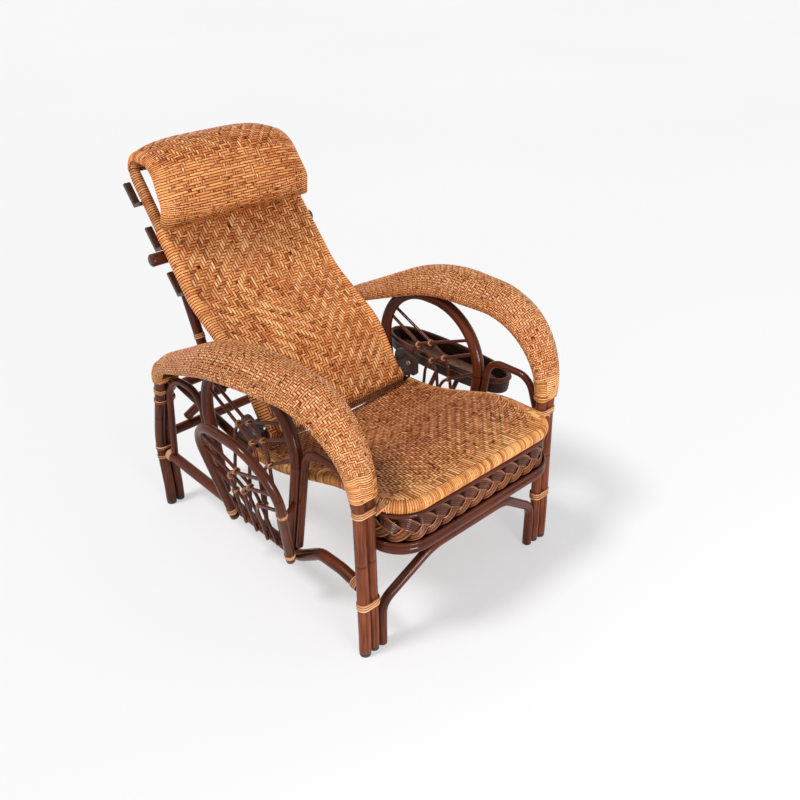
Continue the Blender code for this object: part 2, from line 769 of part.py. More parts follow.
# Back: two stiles that bend over at the top into the headrest bow, bottom roll, woven panel, headrest
RISE = np.array([math.cos(math.radians(BACK_RISE)), math.sin(math.radians(BACK_RISE))])
BEHIND = np.array([RISE[1], -RISE[0]])
LUMBAR = np.array(BACK_LUMBAR)
START = np.array(BACK_WAIST) - np.array(BACK_FOOT)
START = START / np.linalg.norm(START)
HINGE = np.array(BACK_FOOT) + START * HINGE_UP


def behind_stile(distance, offset):
    """A point beside the straight upper stile: distance along it from the lumbar bend, offset to the rear."""
    return LUMBAR + RISE * distance + BEHIND * offset


def above_stile(up, rear):
    """A point of the headrest, from the top of the straight upper stile."""
    return behind_stile(BACK_LENGTH + up, rear)


roll_end = BACK_X + STILE_D / 2
pole(
    "back_bottom_roll",
    np.array([(-roll_end, *BACK_FOOT), (roll_end, *BACK_FOOT)]),
    BACK_ROLL_D,
    CANE,
)
stile_foot = np.array(BACK_FOOT) + START * BACK_ROLL_D / 2
STILES = {}
for side, sign in SIDES:
    profile = [
        stile_foot,
        BACK_WAIST,
        BACK_LUMBAR,
        above_stile(0.0, 0.0),
        above_stile(*HEAD_REAR_TOP),
        above_stile(*HEAD_FRONT_TOP),
        above_stile(*HEAD_FRONT),
        above_stile(HEAD_END_UP, -2 * (wrap_radius(STILE_D) + WEAVE) - 2 * GAP),
    ]
    narrowing = (0, 0, 0, 0.45, 1.0, 0.9, 0.25, 0)
    corners = [(sign * (BACK_X - HEAD_TAPER * n), *p) for p, n in zip(profile, narrowing)]
    path = bend(corners, [WAIST_R, LUMBAR_R, NAPE_R, HEAD_REAR_R, HEAD_TOP_R, HEAD_FRONT_R])
    STILES[side] = path
    pole(f"back_stile_{side}", path, STILE_D)

reached = (STILES["left"][:, 1:] - LUMBAR) @ RISE
head = int(np.argmax(STILES["left"][:, 2]))
panel_top = crossing(reached[:head], BACK_LENGTH + BACK_WEAVE_UP)
back_panel = [between(STILES[side], 0.0, panel_top) for side, sign in SIDES]
saddle(
    "back_weave",
    *back_panel,
    STILE_D,
    STILE_D,
    lambda f: 0 * f,
    lambda path: np.tile((0.0, -1.0, 0.6), (len(path), 1)),
    EDGE_WRAP,
)


def headrest_outward(path):
    """Roughly outward from the middle of the headrest loop, which narrows to the stile at its lower end."""
    distance = (path[:, 1:] - LUMBAR) @ RISE
    core = np.minimum(distance, BACK_LENGTH + HEAD_CORE_UP)[:, None]
    middle = LUMBAR + core * RISE - BEHIND * HEAD_CORE_IN
    return np.column_stack([0 * distance, path[:, 1:] - middle])


first = crossing(reached[:head], BACK_LENGTH + HEAD_WEAVE_UP)
bows = [between(STILES[side], first, len(STILES[side]) - 1.0) for side, sign in SIDES]
saddle(
    "headrest_weave",
    *bows,
    STILE_D,
    STILE_D,
    lambda f: HEAD_CROWN * np.clip(np.sin(math.pi * f), 0.0, 1.0) ** HEAD_PUFF,
    headrest_outward,
    HEAD_WRAP,
    shares=HEAD_SHARES,
    power=HEAD_FULLNESS,
)

# Hooks: a bar on the wound stile with three hooks, each a foot and a strip that runs up from it
bar_in = wrap_radius(STILE_D) + WEAVE + GAP
bar_out = bar_in + HOOK_BAR
comb = [behind_stile(HOOK_FEET[0] - HOOK_END, bar_in), behind_stile(HOOK_FEET[0] - HOOK_END, bar_out)]
for foot in HOOK_FEET:
    comb += [
        behind_stile(foot, bar_out),
        behind_stile(foot + HOOK_TILT * HOOK_OUT, bar_out + HOOK_OUT),
        behind_stile(foot + HOOK_REACH, bar_out + HOOK_OUT),
        behind_stile(foot + HOOK_REACH, bar_out + HOOK_OUT - HOOK_T),
        behind_stile(foot + HOOK_T + HOOK_TILT * (HOOK_OUT - HOOK_T), bar_out + HOOK_OUT - HOOK_T),
        behind_stile(foot + HOOK_T, bar_out),
    ]
comb += [behind_stile(HOOK_FEET[-1] + HOOK_REACH, bar_out), behind_stile(HOOK_FEET[-1] + HOOK_REACH, bar_in)]
for side, sign in SIDES:
    plate(f"back_hooks_{side}", comb, HOOK_W, sign * HOOK_X, True, POLE)

# Prop: a rod under the hooks, two legs and the axle they swing on
clear = PROP_ROD_D / 2 + GAP
rod = behind_stile(HOOK_FEET[PHOTO_HOOK] + clear * (HOOK_TILT - math.hypot(1.0, HOOK_TILT)), bar_out + clear)
pole("prop_rod", np.array([(-ROD_OVERHANG, *rod), (ROD_OVERHANG, *rod)]), PROP_ROD_D)
PIVOT = np.array([PROP_PIVOT_Y, seat_pole_height(PROP_PIVOT_Y)])
cross_pole("prop_axle", PROP_PIVOT_Y, AXLE_D)
reach = rod - PIVOT
reach = reach / np.linalg.norm(reach)
leg_top = rod - reach * (PROP_ROD_D / 2 + 2 * GAP)
bore = AXLE_D + 2 * BORE_PLAY
sleeve_d = bore + 2 * SLEEVE_WALL
for side, sign in SIDES:
    x = sign * PROP_X
    leg = meshed(pole(f"prop_leg_{side}", np.array([(x, *PIVOT), (x, *leg_top)]), PROP_LEG_D))
    across = np.array([(x - SLEEVE_HALF, *PIVOT), (x + SLEEVE_HALF, *PIVOT)])
    boolean(leg, meshed(pole(f"sleeve_{side}", across, sleeve_d, group=helpers)), "UNION")
    through = np.array([(x - SLEEVE_HALF - PAST_CUT, *PIVOT), (x + SLEEVE_HALF + PAST_CUT, *PIVOT)])
    boolean(leg, meshed(pole(f"axle_cutter_{side}", through, bore, group=helpers, roundness=6)), "DIFFERENCE")

# Hinge plates on the seat pole and the pins that carry the back
plate_low = max(seat_pole_height(PLATE_FRONT_Y), seat_pole_height(PLATE_REAR_Y)) + SEAT_POLE_D / 2 + 2 * GAP
for side, sign in SIDES:
    round_top = [
        (HINGE[0] + PLATE_TOP * math.cos(t), HINGE[1] + PLATE_TOP * math.sin(t))
        for t in np.radians(np.linspace(-10, 125, 9))
    ]
    nose_top = HINGE[1] + NOSE_TOP
    nose_low = plate_low + NOSE_LOW
    nose = [(PLATE_NOSE_Y + NOSE_EASE, nose_top), (PLATE_NOSE_Y, nose_top - NOSE_EASE)]
    nose += [(PLATE_NOSE_Y, nose_low + NOSE_EASE), (PLATE_NOSE_Y + NOSE_EASE, nose_low)]
    nose += [(PLATE_FRONT_Y, nose_low)]
    shape = [(PLATE_FRONT_Y, plate_low), (PLATE_REAR_Y, plate_low), *round_top, *nose]
    hinge = plate(f"hinge_plate_{side}", shape, PLATE_T, sign * SEAT_X, True, STEEL)
    drill_half = PLATE_T / 2 + PAST_CUT
    drill = np.array([(sign * (SEAT_X - drill_half), *HINGE), (sign * (SEAT_X + drill_half), *HINGE)])
    bore = PIN_D + 2 * BORE_PLAY
    boolean(hinge, meshed(pole(f"pin_cutter_{side}", drill, bore, group=helpers, roundness=6)), "DIFFERENCE")
    pin_in = BACK_X + (wrap_radius(STILE_D) + WEAVE) * WRAP_FLAT + GAP
    pin_out = SEAT_X + PLATE_T / 2 + PIN_PROUD
    pin_run = np.array([(sign * pin_in, *HINGE), (sign * pin_out, *HINGE)])
    pole(f"hinge_pin_{side}", pin_run, PIN_D, STEEL)

# Magazine rack on the left: a hoop that leans out, its ends and the feet of its sticks beside the rail
def rack_point(y, z):
    base_x = LEG_X + (RAIL_D + RACK_D) / 2 + GAP
    return (-(base_x + RACK_LEAN * (z - rail_height(RACK_FRONT_Y))), y, z)


rack = bend(
    [
        rack_point(RACK_FRONT_Y, rail_height(RACK_FRONT_Y)),
        rack_point(RACK_TOP_FRONT_Y, RACK_TOP_Z),
        rack_point(RACK_TOP_REAR_Y, RACK_TOP_Z),
        rack_point(RACK_REAR_Y, rail_height(RACK_REAR_Y)),
    ],
    [RACK_FRONT_R, RACK_REAR_R],
)
pole("rack_hoop", rack, RACK_D)
stick_foot_x = -(LEG_X + (RAIL_D + STICK_D) / 2 + STICK_LAYER + 2 * GAP)
sticks = []
for edge_y, rims, feet, layer in (
    (RACK_TOP_FRONT_Y, RACK_RIMS, RACK_FRONT_FEET, -STICK_LAYER),
    (RACK_TOP_REAR_Y, RACK_RIMS, RACK_REAR_FEET, STICK_LAYER),
):
    for rim_z, foot_y in zip(rims, feet):
        rim = on_path(rack, rack_point(edge_y, rim_z))
        foot = (stick_foot_x, foot_y, rail_height(foot_y))
        sticks.append(bowed(rim, foot, (1, 0, RACK_LEAN)) + (layer, 0, 0))
rack_trellis = meshed(pole("rack_trellis", sticks[0], STICK_D))
for k, path in enumerate(sticks[1:]):
    boolean(rack_trellis, meshed(pole(f"rack_stick_{k}", path, STICK_D, group=helpers)), "UNION")
rack_cutter = meshed(pole("rack_cutter", rack, RACK_D + 2 * GAP, group=helpers))
boolean(rack_trellis, rack_cutter, "DIFFERENCE")

wheel_spot = np.array((-LEG_X, wheel_front(SPACER_Z), SPACER_Z))
rack_spot = on_path(rack, rack_point(RACK_FRONT_Y, SPACER_Z))
reach = unit(rack_spot - wheel_spot)
wheel_face = wheel_spot + reach * (WHEEL_D / 2 + GAP)
pole("rack_spacer", np.array([wheel_face, rack_spot - reach * (RACK_D / 2 + SPACER_GAP)]), SPACER_D)

# Tray on the right: a walled oval pan with a round rim, on two bent struts
angles = np.linspace(0, 2 * math.pi, TRAY_CHORDS, endpoint=False)


def oval(width, length):
    """A long rounded outline: a superellipse of the given width and length."""
    c = np.cos(angles)
    s = np.sin(angles)
    px = TRAY_X + width / 2 * np.sign(c) * np.abs(c) ** TRAY_ROUND
    py = TRAY_Y + length / 2 * np.sign(s) * np.abs(s) ** TRAY_ROUND
    return px, py


top_width = TRAY_WIDTH - 2 * TRAY_LIP
top_length = TRAY_LENGTH - 2 * TRAY_LIP
low = oval(top_width - 2 * TRAY_FLARE, top_length - 2 * TRAY_FLARE)
high = oval(top_width, top_length)
points = [(px, py, TRAY_FLOOR_Z) for px, py in zip(*low)]
points += [(px, py, TRAY_FLOOR_Z + TRAY_DEPTH) for px, py in zip(*high)]
count = len(angles)
faces = [list(range(count))[::-1]]
faces += [[k, (k + 1) % count, count + (k + 1) % count, count + k] for k in range(count)]
data = bpy.data.meshes.new("tray_pan")
data.from_pydata(points, [], faces)
tray = place(bpy.data.objects.new("tray_pan", data), TRAY)
wall = tray.modifiers.new("wall", "SOLIDIFY")
wall.thickness = TRAY_WALL
wall.offset = -1.0
wall.use_even_offset = True
rim_x, rim_y = oval(top_width - TRAY_WALL, top_length - TRAY_WALL)
lip_rise = TRAY_WALL * math.sin(math.atan2(TRAY_FLARE, TRAY_DEPTH))
rim_z = TRAY_FLOOR_Z + TRAY_DEPTH + lip_rise + TRAY_RIM_D / 2 + GAP
pole("tray_rim", np.column_stack([rim_x, rim_y, 0 * rim_x + rim_z]), TRAY_RIM_D, loop=True)
strut_x = LEG_X + (RAIL_D + STRUT_D) / 2 + GAP
for end, y in zip(("front", "rear"), STRUT_YS):
    under = TRAY_FLOOR_Z - STRUT_D / 2 - GAP
    pole(
        f"tray_strut_{end}",
        bend(
            [
                (strut_x, y, rail_height(y) - RAIL_D / 2),
                (strut_x, y, under - STRUT_KNEE),
                (TRAY_X + STRUT_NEAR, y, under),
                (TRAY_X + STRUT_FAR, y, under),
            ],
            [STRUT_LOW_R, STRUT_TOP_R],
        ),
        STRUT_D,
    )

# Joint axes, and the pieces that ride on each
bpy.context.view_layer.update()
graph = bpy.context.evaluated_depsgraph_get()
corners = []
for obj in chair.objects:
    shown = obj.evaluated_get(graph)
    solid = shown.to_mesh()
    points = np.empty(len(solid.vertices) * 3, np.float32)
    solid.vertices.foreach_get("co", points)
    points = points.reshape(-1, 3)
    corners += [points.min(axis=0), points.max(axis=0)]
    shown.to_mesh_clear()
low_corner = np.min(corners, axis=0)
high_corner = np.max(corners, axis=0)
SHIFT = Vector((-(low_corner[0] + high_corner[0]) / 2, -(low_corner[1] + high_corner[1]) / 2, 0.0))

RIDERS = {
    "back_axis": (HINGE, ("back_", "headrest_", "hinge_pin_")),
    "prop_axis": (PIVOT, ("prop_rod", "prop_leg_")),
}
for name, (spot, starts) in RIDERS.items():
    axis = bpy.data.objects.new(name, None)
    chair.objects.link(axis)
    axis.location = Vector((0.0, *spot)) + SHIFT
    for obj in list(chair.objects):
        if obj.type != "EMPTY" and obj.name.startswith(starts):
            obj.parent = axis
            obj.matrix_parent_inverse = Matrix.Translation(-Vector((0.0, *spot)))
    print(name, [round(v, 5) for v in axis.location])
for obj in list(chair.objects) + list(helpers.objects):
    if obj.type != "EMPTY" and obj.parent is None:
        obj.location = SHIFT
print("footprint", low_corner.round(4), high_corner.round(4), "shift", [round(v, 5) for v in SHIFT])
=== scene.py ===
import math

import bpy
import numpy as np
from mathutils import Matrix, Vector


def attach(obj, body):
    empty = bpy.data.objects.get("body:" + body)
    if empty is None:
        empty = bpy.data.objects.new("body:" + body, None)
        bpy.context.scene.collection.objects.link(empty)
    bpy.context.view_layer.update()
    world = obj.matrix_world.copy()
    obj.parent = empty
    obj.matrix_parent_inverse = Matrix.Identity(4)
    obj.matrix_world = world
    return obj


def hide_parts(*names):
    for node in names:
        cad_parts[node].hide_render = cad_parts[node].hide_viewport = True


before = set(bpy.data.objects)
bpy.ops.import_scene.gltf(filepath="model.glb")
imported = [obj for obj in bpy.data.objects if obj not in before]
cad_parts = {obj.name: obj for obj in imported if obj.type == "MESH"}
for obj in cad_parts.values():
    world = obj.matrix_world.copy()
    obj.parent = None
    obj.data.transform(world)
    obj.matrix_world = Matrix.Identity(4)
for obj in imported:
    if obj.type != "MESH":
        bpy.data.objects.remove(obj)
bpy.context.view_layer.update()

CHANCE = np.random.default_rng(26)

# The chair is laid out with its front feet on y = 0, and SHIFT moves it to the middle of its footprint
SHIFT = np.array((-0.0050034672, -0.4768546224, 0.0))
SIDES = (("left", -1), ("right", 1))
ACROSS, REARWARD, UP = (1, 0, 0), (0, 1, 0), (0, 0, 1)
GAP = 0.0003  # between pieces that touch
WRAP = 1.0 / math.cos(math.radians(18))  # corner over flat of the solids' ten-sided sleeves of cane
LIFT = 0.0012  # how far a strand rises or sinks out of the middle of its weave
FILL = 0.97  # share of its pitch that a strand fills

# Pole diameters
OUTER_ARM, INNER_ARM, RAIL, WHEEL, ARCH, BRACE = 0.030, 0.026, 0.030, 0.032, 0.019, 0.025
STICK, SEAT_POLE, CROSS_RAIL, STRETCHER, TRIM = 0.009, 0.024, 0.020, 0.028, 0.009
APRON_TOP, APRON_LOW, STILE, ROLL = 0.014, 0.028, 0.024, 0.034
RACK, SPACER, TRAY_RIM, STRUT = 0.024, 0.012, 0.015, 0.014
PROP_LEG, PROP_ROD, AXLE, PIN = 0.028, 0.034, 0.022, 0.010

# Where the poles run, in the chair's own side view: y to the rear, z up
LEG_X = 0.312
OUTER_X = LEG_X + (INNER_ARM + GAP) / 2
INNER_X = LEG_X - (OUTER_ARM + GAP) / 2
LEG_FACE = INNER_X - INNER_ARM / 2
GLIDE = 0.008
SEAT_X = LEG_FACE - GAP - ((SEAT_POLE / 2 + GAP) * WRAP + 0.003) / WRAP
SEAT_REAR_X = LEG_FACE - GAP - SEAT_POLE / 2
BRACE_X = LEG_FACE - GAP - BRACE / 2
SEAT_FRONT, SEAT_HIGH, SEAT_REAR_EDGE = -0.056, 0.405, 0.461
RAIL_LOW, RAIL_REAR, REAR_FOOT = (0.252, 0.140), 0.165, 0.842
RAIL_SLOPE = (RAIL_REAR - RAIL_LOW[1]) / (REAR_FOOT - RAIL_LOW[0])
RAIL_FRONT, RAIL_HUMP = 0.184, ((0.165, 0.196), (0.090, 0.196))
WHEEL_FRONT, WHEEL_REAR, WHEEL_TOP, WHEEL_LEAN, WHEEL_FOOT = 0.2075, 0.6325, 0.587, 0.165, 0.164
LOW_REAR_Z, HIGH_REAR_Y, AXLE_Y = 0.220, 0.802, 0.735
BACK_X, BACK_FOOT, BACK_WAIST, LUMBAR = 0.222, (0.466, 0.362), (0.553, 0.500), np.array((0.735, 0.612))
RISE = np.array((math.cos(math.radians(50.4)), math.sin(math.radians(50.4))))
BEHIND = np.array((RISE[1], -RISE[0]))
BACK_LENGTH, PANEL_TOP = 0.402, 0.232
HOOK_X, HOOK_WIDTH, HOOK_FEET, HOOK_SLOPE = 0.226, 0.020, (0.055, 0.187, 0.317), 0.36
PLATE = 0.012
RACK_FRONT, RACK_REAR, RACK_TOP, RACK_FEET, RACK_LEAN = 0.162, 0.494, 0.490, (0.252, 0.480), 0.265
TRAY_X, TRAY_Y, TRAY_WIDTH, TRAY_LENGTH = 0.390, 0.425, 0.117, 0.452
TRAY_FLOOR, TRAY_DEPTH, TRAY_WALL = 0.346, 0.032, 0.005


# ---- paths

def unit(vectors):
    """Vectors brought to length one."""
    return vectors / np.linalg.norm(vectors, axis=-1, keepdims=True)


def bend(corners, radii, counts=None):
    """Straight runs joined by tangent arcs: each arc point is the corner circle's middle plus a spoke turned evenly."""
    points = [np.array(c, float) for c in corners]
    path = [points[0][None]]
    for k, (before, corner, after, radius) in enumerate(zip(points, points[1:], points[2:], radii)):
        back, on = unit(before - corner), unit(after - corner)
        inside = math.acos(max(-1.0, min(1.0, float(back @ on))))
        turn = math.pi - inside
        middle = corner + unit(back + on) * radius / math.sin(inside / 2)
        start, end = (corner + way * radius / math.tan(inside / 2) - middle for way in (back, on))
        steps = counts[k] if counts else max(4, math.ceil(turn / math.radians(5)))
        f = np.linspace(0.0, 1.0, steps + 1)[:, None]
        path.append(middle + (np.sin((1 - f) * turn) * start + np.sin(f * turn) * end) / math.sin(turn))
    return np.concatenate(path + [points[-1][None]])


def mirrored(half):
    """Corners of a run across the chair: those of its right half, then their mirror images back out."""
    return half + [(-x, y, z) for x, y, z in reversed(half)]


def level_run(end, y, z):
    """A straight level run across the chair."""
    return np.array([(-end, y, z), (end, y, z)])


def along(path):
    """Distance run at each point of a path."""
    return np.concatenate([[0.0], np.cumsum(np.linalg.norm(np.diff(path, axis=0), axis=1))])


def at(path, where, by=None):
    """Points of a path at given distances along it, or at given values of another measure."""
    by = along(path) if by is None else by
    return np.column_stack([np.interp(where, by, path[:, k]) for k in range(3)])


def evenly(path, step):
    """The path again with points about a step apart."""
    length = along(path)[-1]
    return at(path, np.linspace(0.0, length, max(2, math.ceil(length / step)) + 1))


def between(path, first, last):
    """The run of a path from one fractional point number to another."""
    inner = np.arange(math.floor(first) + 1, math.ceil(last))
    return at(path, np.concatenate([[first], inner, [last]]), np.arange(len(path)))


def crossing(values, level, last=False):
    """Fractional point number at which values first, or last, passes a level."""
    steps = np.nonzero(np.diff(np.sign(np.asarray(values) - level)))[0]
    k = int(steps[-1 if last else 0])
    return k + (level - values[k]) / (values[k + 1] - values[k])


def nearest(path, point):
    """The point of a path nearest to the given one."""
    fine = evenly(path, 0.001)
    return fine[np.argmin(np.linalg.norm(fine - np.asarray(point), axis=1))]


def directions(path, loop=False):
    """Direction at each point of a path, halfway between the two runs that meet there."""
    if loop:
        return unit(np.roll(path, -1, axis=0) - np.roll(path, 1, axis=0))
    runs = unit(np.diff(path, axis=0))
    return unit(np.concatenate([runs[:1], runs[:-1] + runs[1:], runs[-1:]]))


def cross_axes(heading, hint):
    """Two directions square to each heading and to each other, the first as near to the hint as can be."""
    across = unit(hint - np.sum(hint * heading, axis=1, keepdims=True) * heading)
    return across, np.cross(heading, across)


def level_out(path):
    """Level directions square to a path, to its left as seen from above."""
    heading = directions(path)
    return np.column_stack([-heading[:, 1], heading[:, 0], 0 * heading[:, 2]])


def circle(count):
    """Angles evenly round a circle."""
    return np.linspace(0, 2 * math.pi, count, endpoint=False)


def spokes(turn, across, other):
    """Points of the unit circle at some angles, in the plane of two directions."""
    return np.cos(turn)[:, None] * across[..., None, :] + np.sin(turn)[:, None] * other[..., None, :]


def smooth(x, low, high):
    """Zero below low, one above high and an even S between them."""
    t = np.clip((x - low) / (high - low), 0.0, 1.0)
    return t * t * (3 - 2 * t)


# ---- surfaces

def tubes(rings, run, loop=False, tone=0.5, depth=0.0):
    """Closed tubes from an array (tubes, rings, points of a ring, 3): each ring joins the next, ends are closed.

    run is the distance along each ring, tone a share of light or dark and depth how far a strand lies under others
    or in shade, which the cane paint turns into painted shade.
    """
    count, length, sides = full = rings.shape[:3]
    index = np.arange(count * length * sides).reshape(full)
    run = np.broadcast_to(run, (count, length))
    here, ahead = (index, np.roll(index, -1, axis=1)) if loop else (index[:, :-1], index[:, 1:])
    quads = np.stack([here, np.roll(here, -1, 2), np.roll(ahead, -1, 2), ahead], axis=-1)
    stops = np.concatenate([run, run[:, -1:] * 2 - run[:, -2:-1]], axis=1) if loop else run
    v, w = stops[:, :-1, None], stops[:, 1:, None]
    u = np.arange(sides) / sides
    u_next = u + 1.0 / sides
    maps = np.stack([np.stack(np.broadcast_arrays(*corner), axis=-1)
                     for corner in ((u, v), (u_next, v), (u_next, w), (u, w))], axis=3)
    faces = [(quads.reshape(-1, 4), maps.reshape(-1, 4, 2))]
    if not loop:
        for ends, place in ((index[:, 0, ::-1], run[:, 0]), (index[:, -1], run[:, -1])):
            faces.append((ends, np.stack(np.broadcast_arrays(u, place[:, None]), axis=-1)))
    tone, depth = (np.broadcast_to(np.reshape(a, np.shape(a) + (1,) * (3 - np.ndim(a))), full) for a in (tone, depth))
    return rings.reshape(-1, 3), faces, tone.reshape(-1), depth.reshape(-1)


def linked(name, data):
    """A new object with this data, in the scene."""
    obj = bpy.data.objects.new(name, data)
    bpy.context.scene.collection.objects.link(obj)
    return obj


def settle(obj, body, stands_for=()):
    """Lets an object ride on its body and take the place of its CAD nodes."""
    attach(obj, body)
    if stands_for:
        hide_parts(*stands_for)


def piece(name, skins, finish, body="frame", stands_for=(), crisp=None):
    """One object from several skins, with its points in place, its map along each strand and its tone and depth."""
    points, tone, depth = (np.concatenate([s[k] for s in skins]) for k in (0, 2, 3))
    starts = np.cumsum([0] + [len(s[0]) for s in skins])
    faces = [(corners + start, maps) for start, s in zip(starts, skins) for corners, maps in s[1]]
    loops = np.concatenate([corners.ravel() for corners, maps in faces])
    places = np.concatenate([maps.reshape(-1, 2) for corners, maps in faces])
    lengths = np.concatenate([np.full(len(corners), corners.shape[1]) for corners, maps in faces])
    data = bpy.data.meshes.new(name)
    data.vertices.add(len(points))
    data.vertices.foreach_set("co", (points + SHIFT).astype(np.float32).ravel())
    data.loops.add(len(loops))
    data.polygons.add(len(lengths))
    data.polygons.foreach_set("loop_start", np.concatenate([[0], np.cumsum(lengths)[:-1]]).astype(np.int32))
    data.loops.foreach_set("vertex_index", loops.astype(np.int32))
    data.update(calc_edges=True)
    data.polygons.foreach_set("use_smooth", np.ones(len(lengths), bool))
    data.uv_layers.new(name="strand").uv.foreach_set("vector", places.astype(np.float32).ravel())
    for label, values in (("tone", tone), ("depth", depth)):
        data.attributes.new(label, "FLOAT", "POINT").data.foreach_set("value", values.astype(np.float32))
    if crisp:
        data.set_sharp_from_angle(angle=math.radians(crisp))
    data.materials.append(finish)
    settle(linked(name, data), body, stands_for)


def rod(path, diameter, facing, sides=16, step=0.010, loop=False, tone=0.5, end=0.08, depth=0.0):
    """A round pole: circles square to the path. facing is a direction across the path, and sawn ends are eased."""
    path = evenly(np.vstack([path, path[:1]]), step)[:-1] if loop else evenly(path, step)
    run = along(path)
    ease = 0.0 if loop else end * diameter
    if not loop:
        spots = np.unique(np.concatenate([run, [ease, run[-1] - ease]]))
        path, run = at(path, spots, run), spots
    radius = np.full(len(path), diameter / 2)
    radius[[0, -1]] -= ease
    axes = cross_axes(directions(path, loop), np.asarray(facing, float))
    rings = path[:, None] + radius[:, None, None] * spokes(circle(sides), *axes)
    return tubes(rings[None], run[None], loop, tone, depth)


def pole(name, path, diameter, facing, body="frame", finish=None):
    """One stained pole that takes the place of the CAD node of its name."""
    piece(f"{name}_pole", [rod(path, diameter, facing)], finish or STAINED, body, [name], crisp=50)


def winding(first, second, facing, radius, strand, bulge, sides=20, even=0.0, groove=1.0):
    """Cane wound close round one pole, or round two side by side: a hull of two circles carried along both.

    The radius swells by the arch |sin| of the distance run over one strand's width, so every turn is a rounded ridge.
    even draws the tones of the turns together, and groove is how dark the painted shade in the lines between them is.
    """
    length = along(first)[-1]
    turns = max(1, round(length / strand))
    spots = np.linspace(0.0, length, turns * 4 + 1)
    share = spots / length
    a, b = at(first, spots), at(second, share * along(second)[-1])
    axes = cross_axes(directions((a + b) / 2), b - a + np.asarray(facing, float) * 1e-7)
    ridge = np.abs(np.sin(math.pi * share * turns))
    swell = radius + bulge * ridge ** 0.7
    turn = np.linspace(-math.pi / 2, 1.5 * math.pi, sides, endpoint=False) + math.pi / sides
    near = (np.cos(turn) > 0)[None, :, None]
    rings = np.where(near, b[:, None], a[:, None]) + swell[:, None, None] * spokes(turn, *axes)
    own = CHANCE.random(turns + 1)[np.minimum((share * turns).astype(int), turns)]
    tone = 0.5 + (1 - even) * (own - 0.5)
    # painted shade in the grooves between the turns, carried as depth
    return tubes(rings[None], spots[None], tone=tone[None], depth=(groove * (1 - ridge ** 1.5))[None])


# ---- weaving

def sample(grid, v, u):
    """Points of a grid at shares v down it and u across it, taken straight between the four nearest."""
    v, u = np.broadcast_arrays(v, u)
    r, c = v * (grid.shape[0] - 1), u * (grid.shape[1] - 1)
    i = np.clip(np.floor(r).astype(int), 0, grid.shape[0] - 2)
    j = np.clip(np.floor(c).astype(int), 0, grid.shape[1] - 2)
    fr, fc = (r - i)[..., None], (c - j)[..., None]
    upper = grid[i, j] * (1 - fc) + grid[i, j + 1] * fc
    lower = grid[i + 1, j] * (1 - fc) + grid[i + 1, j + 1] * fc
    return upper * (1 - fr) + lower * fr


def middle_run(grid):
    """Distance run at each row of a grid, down its middle line."""
    return along(grid[:, grid.shape[1] // 2])


def row_count(grid, pitch):
    """How many strands of a pitch lie one below the other on a grid."""
    return round(middle_run(grid)[-1] / pitch)


def from_edge(count):
    """How many strands lie between each one of a row and the nearer edge."""
    return np.minimum(np.arange(count), np.arange(count)[::-1])


def even_rows(grid, rows=240):
    """A grid with its rows spaced evenly along its middle line."""
    run = middle_run(grid)
    rank = np.interp(np.linspace(0, run[-1], rows), run, np.arange(len(grid)) / (len(grid) - 1))
    return sample(grid, rank[:, None], np.linspace(0, 1, grid.shape[1])[None])


def outward(grid, hint):
    """Directions square to a grid, on the side that the hint points to."""
    square = unit(np.cross(np.gradient(grid, axis=1), np.gradient(grid, axis=0)))
    return square * np.sign(np.sum(square * hint))


def strands(grid, normals, v, u, over, lift, painted_shade, pale):
    """Flat-oval strands laid on a grid, one per row of v and u, with two rings to every strand that they cross.

    A strand rises by lift where it passes over, sinks by lift where it passes under, and lies halfway between. Each
    stretch on top has a tone of its own, raised by pale. A strand is darkened by painted shade along its edges, under
    others and where extra shade is given.
    """
    halves = np.linspace(0, over.shape[1] - 1, 2 * over.shape[1] - 1)
    low, high = np.floor(halves).astype(int), np.ceil(halves).astype(int)
    v, u, painted_shade, pale = (np.broadcast_to(a, over.shape) for a in (v, u, painted_shade, pale))
    v, u, painted_shade, pale = ((a[:, low] + a[:, high]) / 2 for a in (v, u, painted_shade, pale))
    under = (2.0 - over[:, low] - over[:, high]) / 2
    middle = sample(grid, v, u)
    each = (len(middle), 1)
    up = unit(sample(normals, v, u))
    side = np.cross(up, unit(np.gradient(middle, axis=1)))
    gaps = np.linalg.norm(np.diff(middle, axis=0), axis=-1)
    pitch = np.concatenate([gaps[:1], (gaps[1:] + gaps[:-1]) / 2, gaps[-1:]])
    half = (FILL * (0.95 + 0.08 * CHANCE.random(each)) * pitch / 2)[..., None]
    middle = middle + up * (lift * (1 - 2 * under))[..., None]
    shape = ((1.0, 0.0), (0.50, 0.95), (-0.50, 0.95), (-1.0, 0.0), (-0.50, -0.95), (0.50, -0.95))
    rings = np.stack([middle + side * half * p + up * lift * q for p, q in shape], axis=2)
    steps = np.linalg.norm(np.diff(middle, axis=1), axis=-1)
    run = np.concatenate([np.zeros(each), np.cumsum(steps, axis=1)], axis=1)
    turns = np.cumsum(np.pad(over[:, 1:] != over[:, :-1], ((0, 0), (1, 0))), axis=1)[:, low]
    own = CHANCE.random((len(middle), int(turns.max()) + 1))
    tone = 0.35 * CHANCE.random(each) + 0.65 * np.take_along_axis(own, turns, axis=1) + pale
    # painted shade: the strand's edges dark, its top darker where it passes under others or extra shade is given, its
    # underside dark where it lies on top
    front, rear, edge = under + painted_shade, 1 - under, np.ones(under.shape)
    depth = np.stack([edge, front, front, edge, rear, rear], axis=2)
    return tubes(rings, run + CHANCE.random(each) * 7, tone=tone, depth=np.clip(depth, 0, 1))


